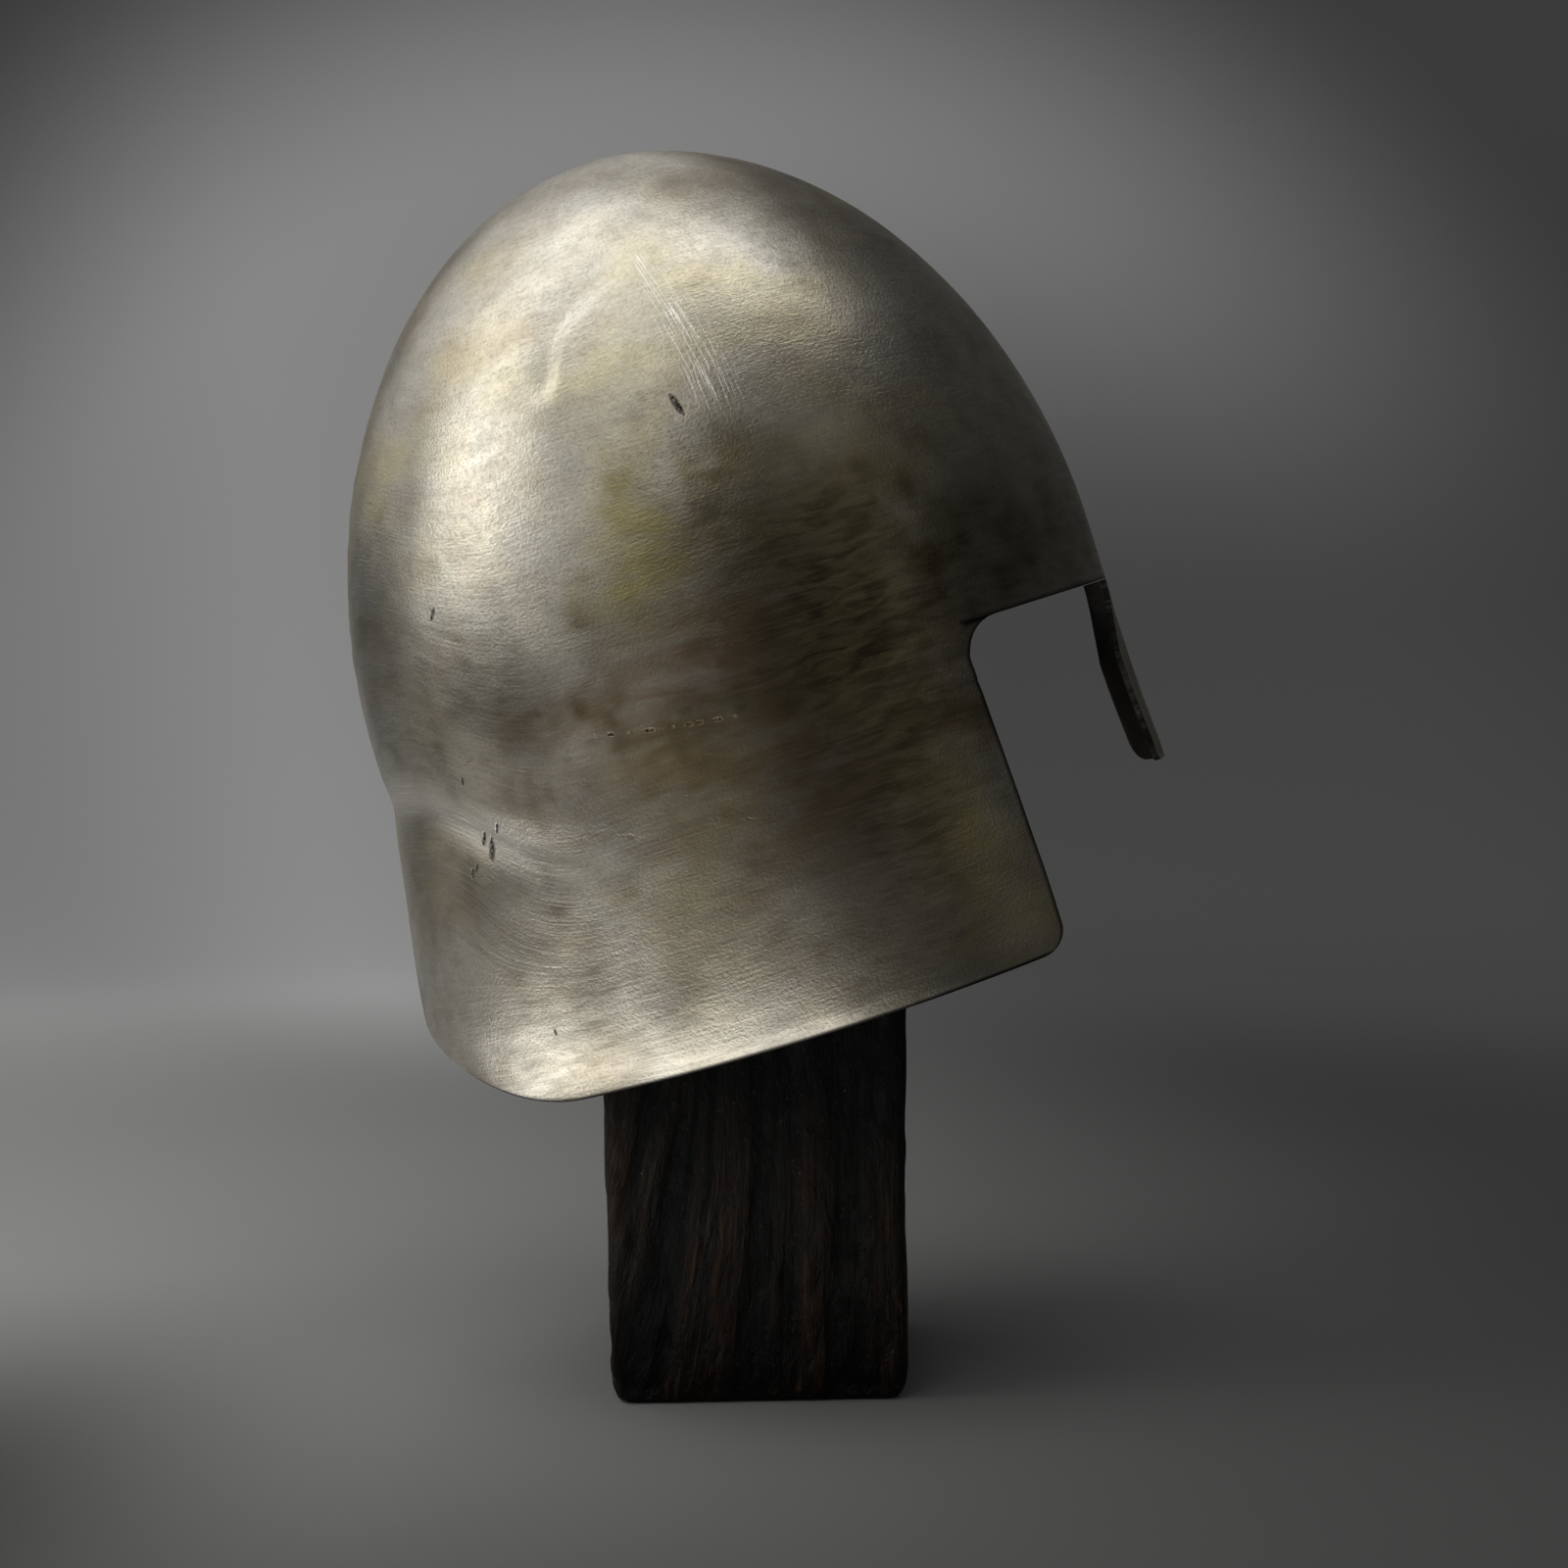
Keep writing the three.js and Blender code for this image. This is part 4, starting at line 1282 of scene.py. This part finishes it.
def crown_lace():
    """The drawstring round the crown opening, gathered and tied with a reef knot."""
    height = BOWL - PLATE - LACE_DEPTH
    turns = np.linspace(0, 2 * math.pi, 120, endpoint=False)
    ring = np.stack([
        (LACE_RADIUS + 0.25 * np.sin(6 * turns)) * np.cos(turns),
        (LACE_RADIUS + 0.25 * np.sin(6 * turns)) * np.sin(turns),
        height + 0.2 * np.sin(12 * turns),
    ], axis=1)
    parts = [tube(ring, LACE_THICK / 2 - 0.3, 10, closed=True)]
    weaves = [wound(turns * LACE_RADIUS, 10)]
    knot = np.array([-LACE_RADIUS + 0.4, 0, height])
    for side in (-1, 1):
        t = np.linspace(0, 1, 40)
        loop = knot + np.stack([
            0.9 * np.sin(t * 3 * math.pi) + 0.3,
            side * (2.6 * np.cos(t * 2.4 * math.pi) * (1 - 0.25 * t)),
            1.1 * np.sin(t * 2.4 * math.pi + side),
        ], axis=1)
        parts.append(tube(loop, 0.75, 8))
        weaves.append(wound(t * 20, 8))
    points, faces = gather(parts)
    thing = add_mesh("tied_crown_lace", to_row(points), faces, [LACE])
    keep(thing, place=points, weave=np.vstack(weaves))
    tidy_normals(thing)
    settle(thing, "helm", "lace", "crown_lace")


crown_lace()


# ---- Display block -----------------------------------------------


def stand_block():
    """Charred timber post: rounded corners, raised grain, worn foot and a sloping saddle."""
    half = BLOCK / 2
    columns = 90
    corner = BLOCK_ROUNDING

    def outline(inset):
        """A rounded square loop, anticlockwise, with even points along its sides."""
        flat = half - inset - corner
        line = []
        for quarter in range(4):
            turn = quarter * math.pi / 2
            c, s = math.cos(turn), math.sin(turn)
            side = half - inset
            for share in np.linspace(-flat, flat, columns):
                line.append((side * c - share * s, side * s + share * c))
            for share in np.linspace(0, 1, 6)[1:-1]:
                a = turn + share * math.pi / 2
                cx, cy = flat * (c - s), flat * (s + c)
                line.append((cx + corner * math.cos(a), cy + corner * math.sin(a)))
        return np.array(line)

    def top(x, drop):
        return SADDLE - x * math.tan(SLOPE) - drop

    rows = []
    full = outline(0)
    rows.append(np.column_stack([outline(FOOT_INSET + 1.4), np.zeros(len(full))]))
    for turn in np.linspace(0, math.pi / 2, 9):
        height = 0.5 + (FOOT_HEIGHT + 2) * (1 - math.cos(turn))
        rows.append(np.column_stack([outline(FOOT_INSET * (1 - math.sin(turn))), np.full(len(full), height)]))
    shoulder = top(full[:, 0], SHOULDER_DROP)
    for share in np.linspace(0, 1, 150)[1:]:
        rows.append(np.column_stack([full, mix(FOOT_HEIGHT + 2.5, shoulder, share)]))
    for share in np.linspace(0, 1, 16)[1:]:
        loop = outline(SHOULDER_INSET * share)
        rows.append(np.column_stack([loop, top(loop[:, 0], SHOULDER_DROP * (1 - share))]))
    for share in np.linspace(0, 1, 12)[1:-1]:
        loop = outline(SHOULDER_INSET) * (1 - share)
        rows.append(np.column_stack([loop, top(loop[:, 0], 0)]))
    points = np.vstack(rows)
    size = len(full)
    faces = [tuple(reversed(range(size)))] + net(len(rows), size)
    centre = len(points)
    points = np.vstack([points, [[0, 0, top(0, 0)]]])
    last = (len(rows) - 1) * size
    faces += [(last + i, last + (i + 1) % size, centre) for i in range(size)]

    out = point_normals(points, faces)
    x, _, z = points.T
    lean = points - np.outer(0.26 * (z - 40) * ramp(x, 15, -45), [1, 0, 0])
    lean += np.outer(3.0 * noise(points, 60, 101), [1, 1, 0])
    ridges = layered(lean * [1, 1, 0.06], 9, 102, 3)
    broad = noise(lean * [1, 1, 0.05], 16, 103)
    lumps = layered(points * [1, 1, 0.4], 7, 104, 2)
    pits = ramp(noise(points * [1, 1, 0.5], 3.2, 105), 0.25, 0.6)
    low = ramp(z, 130, 30)
    carve = 1.9 * ramp(ridges, 0.2, -0.25) + 0.9 * ramp(broad, 0.2, -0.6)
    carve += low * 0.9 * ramp(lumps, 0.1, -0.5) + 0.6 * pits * (0.3 + 0.7 * low)
    square = np.minimum(half - np.abs(points[:, 0]), half - np.abs(points[:, 1]))
    other = np.maximum(half - np.abs(points[:, 0]), half - np.abs(points[:, 1]))
    carve *= 1 - 0.65 * np.exp(-other / 7.0)
    arris = np.exp(-other / 4.0)
    carve += arris * (0.3 + 0.6 * ramp(noise(points * [1, 1, 0.3], 9, 106), 0.0, 0.7))
    steady = ramp(z, 0.0, 5.0)
    shaped = points - out * (carve * steady)[:, None]
    shaped[:, 0] += 2.8 * clip01(1 - z / 110) * ramp(x, 0, -half)
    shaped[:, 0] += 1.4 * clip01(1 - z / 150) * ramp(x, 0, half)
    thing = add_mesh("charred_block", shaped / 1000, faces, [TIMBER])
    rub = arris * ramp(noise(points * [1, 1, 0.2], 14, 107), -0.1, 0.6)
    rub *= ramp(square, 3, 0)
    proud = clip01(1.1 - 1.0 * ramp(ridges, 0.2, -0.25) - 0.3 * ramp(broad, 0.2, -0.6))
    # Painted shadow: the block darkens towards its top, which the helm above shades.
    painted_helm_shadow = 0.95 * ramp(z + 0.35 * x, 50, 108)
    tone = np.stack([clip01(rub), proud, painted_helm_shadow], axis=1)
    keep(thing, place=points, tone=tone, flow=lean)
    tidy_normals(thing)
    settle(thing, "stand", "timber", "stand_block")


stand_block()


# ---- Stage, light and camera -------------------------------------


FLOOR_RADIUS, SWEEP, WALL_TOP = 1.2, 1.1, 3.2


def cove():
    """A pale floor that sweeps up all round into a plain wall."""
    ring = 96
    profile = [(radius, 0.0) for radius in np.linspace(0, FLOOR_RADIUS, 4)]
    profile += [
        (FLOOR_RADIUS + SWEEP * math.sin(a), SWEEP * (1 - math.cos(a)))
        for a in np.linspace(0, math.pi / 2, 24)[1:]
    ]
    profile.append((FLOOR_RADIUS + SWEEP, WALL_TOP))
    points = [(0, 0, 0)]
    for radius, height in profile[1:]:
        for k in range(ring):
            a = k * 2 * math.pi / ring
            points.append((radius * math.cos(a), radius * math.sin(a), height))
    faces = [(0, 1 + k, 1 + (k + 1) % ring) for k in range(ring)]
    for r in range(len(profile) - 2):
        for k in range(ring):
            m = (k + 1) % ring
            low, high = 1 + r * ring, 1 + (r + 1) * ring
            faces.append((low + k, high + k, high + m, low + m))
    add_mesh("floor", np.array(points, float), faces, [floor_paint()])


cove()


def soft_light(name, away, size, brightness, colour, facing=None):
    """A rectangular soft box, placed from the object's middle, that faces it or another way."""
    lo, hi = cad_box
    data = bpy.data.lights.new(name, "AREA")
    data.shape = "RECTANGLE"
    data.size, data.size_y = size
    data.energy = math.pi * size[0] * size[1] * brightness
    data.color = colour
    lamp = bpy.data.objects.new(name, data)
    bpy.context.scene.collection.objects.link(lamp)
    lamp.location = (lo + hi) / 2 + Vector(away)
    back = -Vector(facing) if facing else Vector(away)
    lamp.rotation_mode = "QUATERNION"
    lamp.rotation_quaternion = back.to_track_quat("Z", "Y")
    lamp.visible_camera = False


WARM, CLEAR = (1.0, 0.985, 0.945), (1.0, 0.995, 0.985)
UP = (0, 0, 1)
# Name, place from the object's middle, size, brightness, tint, and where it faces if not there.
LIGHTS = [
    ("key", (-1.12, -0.27, 0.34), (0.34, 0.38), 3.0, WARM),
    ("key_wide", (-1.09, -0.27, 0.36), (0.7, 0.9), 0.8, WARM),
    ("key_high", (-0.92, -0.26, 0.74), (0.6, 0.5), 0.95, WARM),
    ("crown", (-0.40, -0.30, 1.09), (0.9, 0.9), 1.2, CLEAR),
    ("crown_left", (-0.76, 0.0, 0.93), (0.8, 0.8), 0.74, CLEAR),
    ("crown_right", (0.20, -0.24, 1.15), (0.7, 0.6), 1.45, CLEAR),
    ("crown_back", (-0.35, 0.50, 1.05), (1.0, 0.8), 0.6, CLEAR),
    ("fill", (-1.01, -0.91, 0.21), (0.7, 0.7), 0.42, CLEAR),
    ("front", (-0.49, -1.05, 0.77), (0.8, 0.8), 0.88, CLEAR),
    ("front_right", (0.62, -0.98, 0.30), (0.7, 0.9), 0.2, CLEAR),
    ("edge_left", (-0.88, 0.50, 0.58), (0.6, 0.8), 0.55, CLEAR),
    ("nape", (-1.10, -0.02, -0.02), (0.4, 0.5), 0.55, CLEAR),
    ("table_left", (-0.25, -0.11, -0.188), (0.20, 0.20), 2.6, WARM, UP),
    ("table_front", (-0.11, -0.20, -0.188), (0.26, 0.14), 1.9, WARM, UP),
    ("table_right", (0.04, -0.21, -0.188), (0.14, 0.14), 1.2, WARM, UP),
]
for light in LIGHTS:
    soft_light(*light)

world = bpy.data.worlds.new("studio")
world.use_nodes = True
world.node_tree.nodes["Background"].inputs["Color"].default_value = (0.9, 0.95, 1.0, 1)
world.node_tree.nodes["Background"].inputs["Strength"].default_value = 0.03
bpy.context.scene.world = world
bpy.context.scene.view_settings.view_transform = "Standard"


# What the camera looks at, from the object's middle, and its two angles, distance and lens.
AIM = Vector((0.0072, 0.0, -0.0062))
AROUND, ABOVE, STAND_OFF, LENS = -0.06, 0.03, 0.7166, 50.6


def camera():
    """Looks square at the wearer's right side, from a little behind and above."""
    lo, hi = cad_box
    back = Vector((
        math.sin(AROUND) * math.cos(ABOVE), -math.cos(AROUND) * math.cos(ABOVE), math.sin(ABOVE)
    ))
    data = bpy.data.cameras.new("camera")
    data.sensor_width = 36
    data.lens = LENS
    data.clip_start = 0.01
    made = bpy.data.objects.new("camera", data)
    bpy.context.scene.collection.objects.link(made)
    made.location = (lo + hi) / 2 + AIM + back * STAND_OFF
    made.rotation_mode = "QUATERNION"
    made.rotation_quaternion = (-back).to_track_quat("-Z", "Y")
    bpy.context.scene.camera = made


camera()
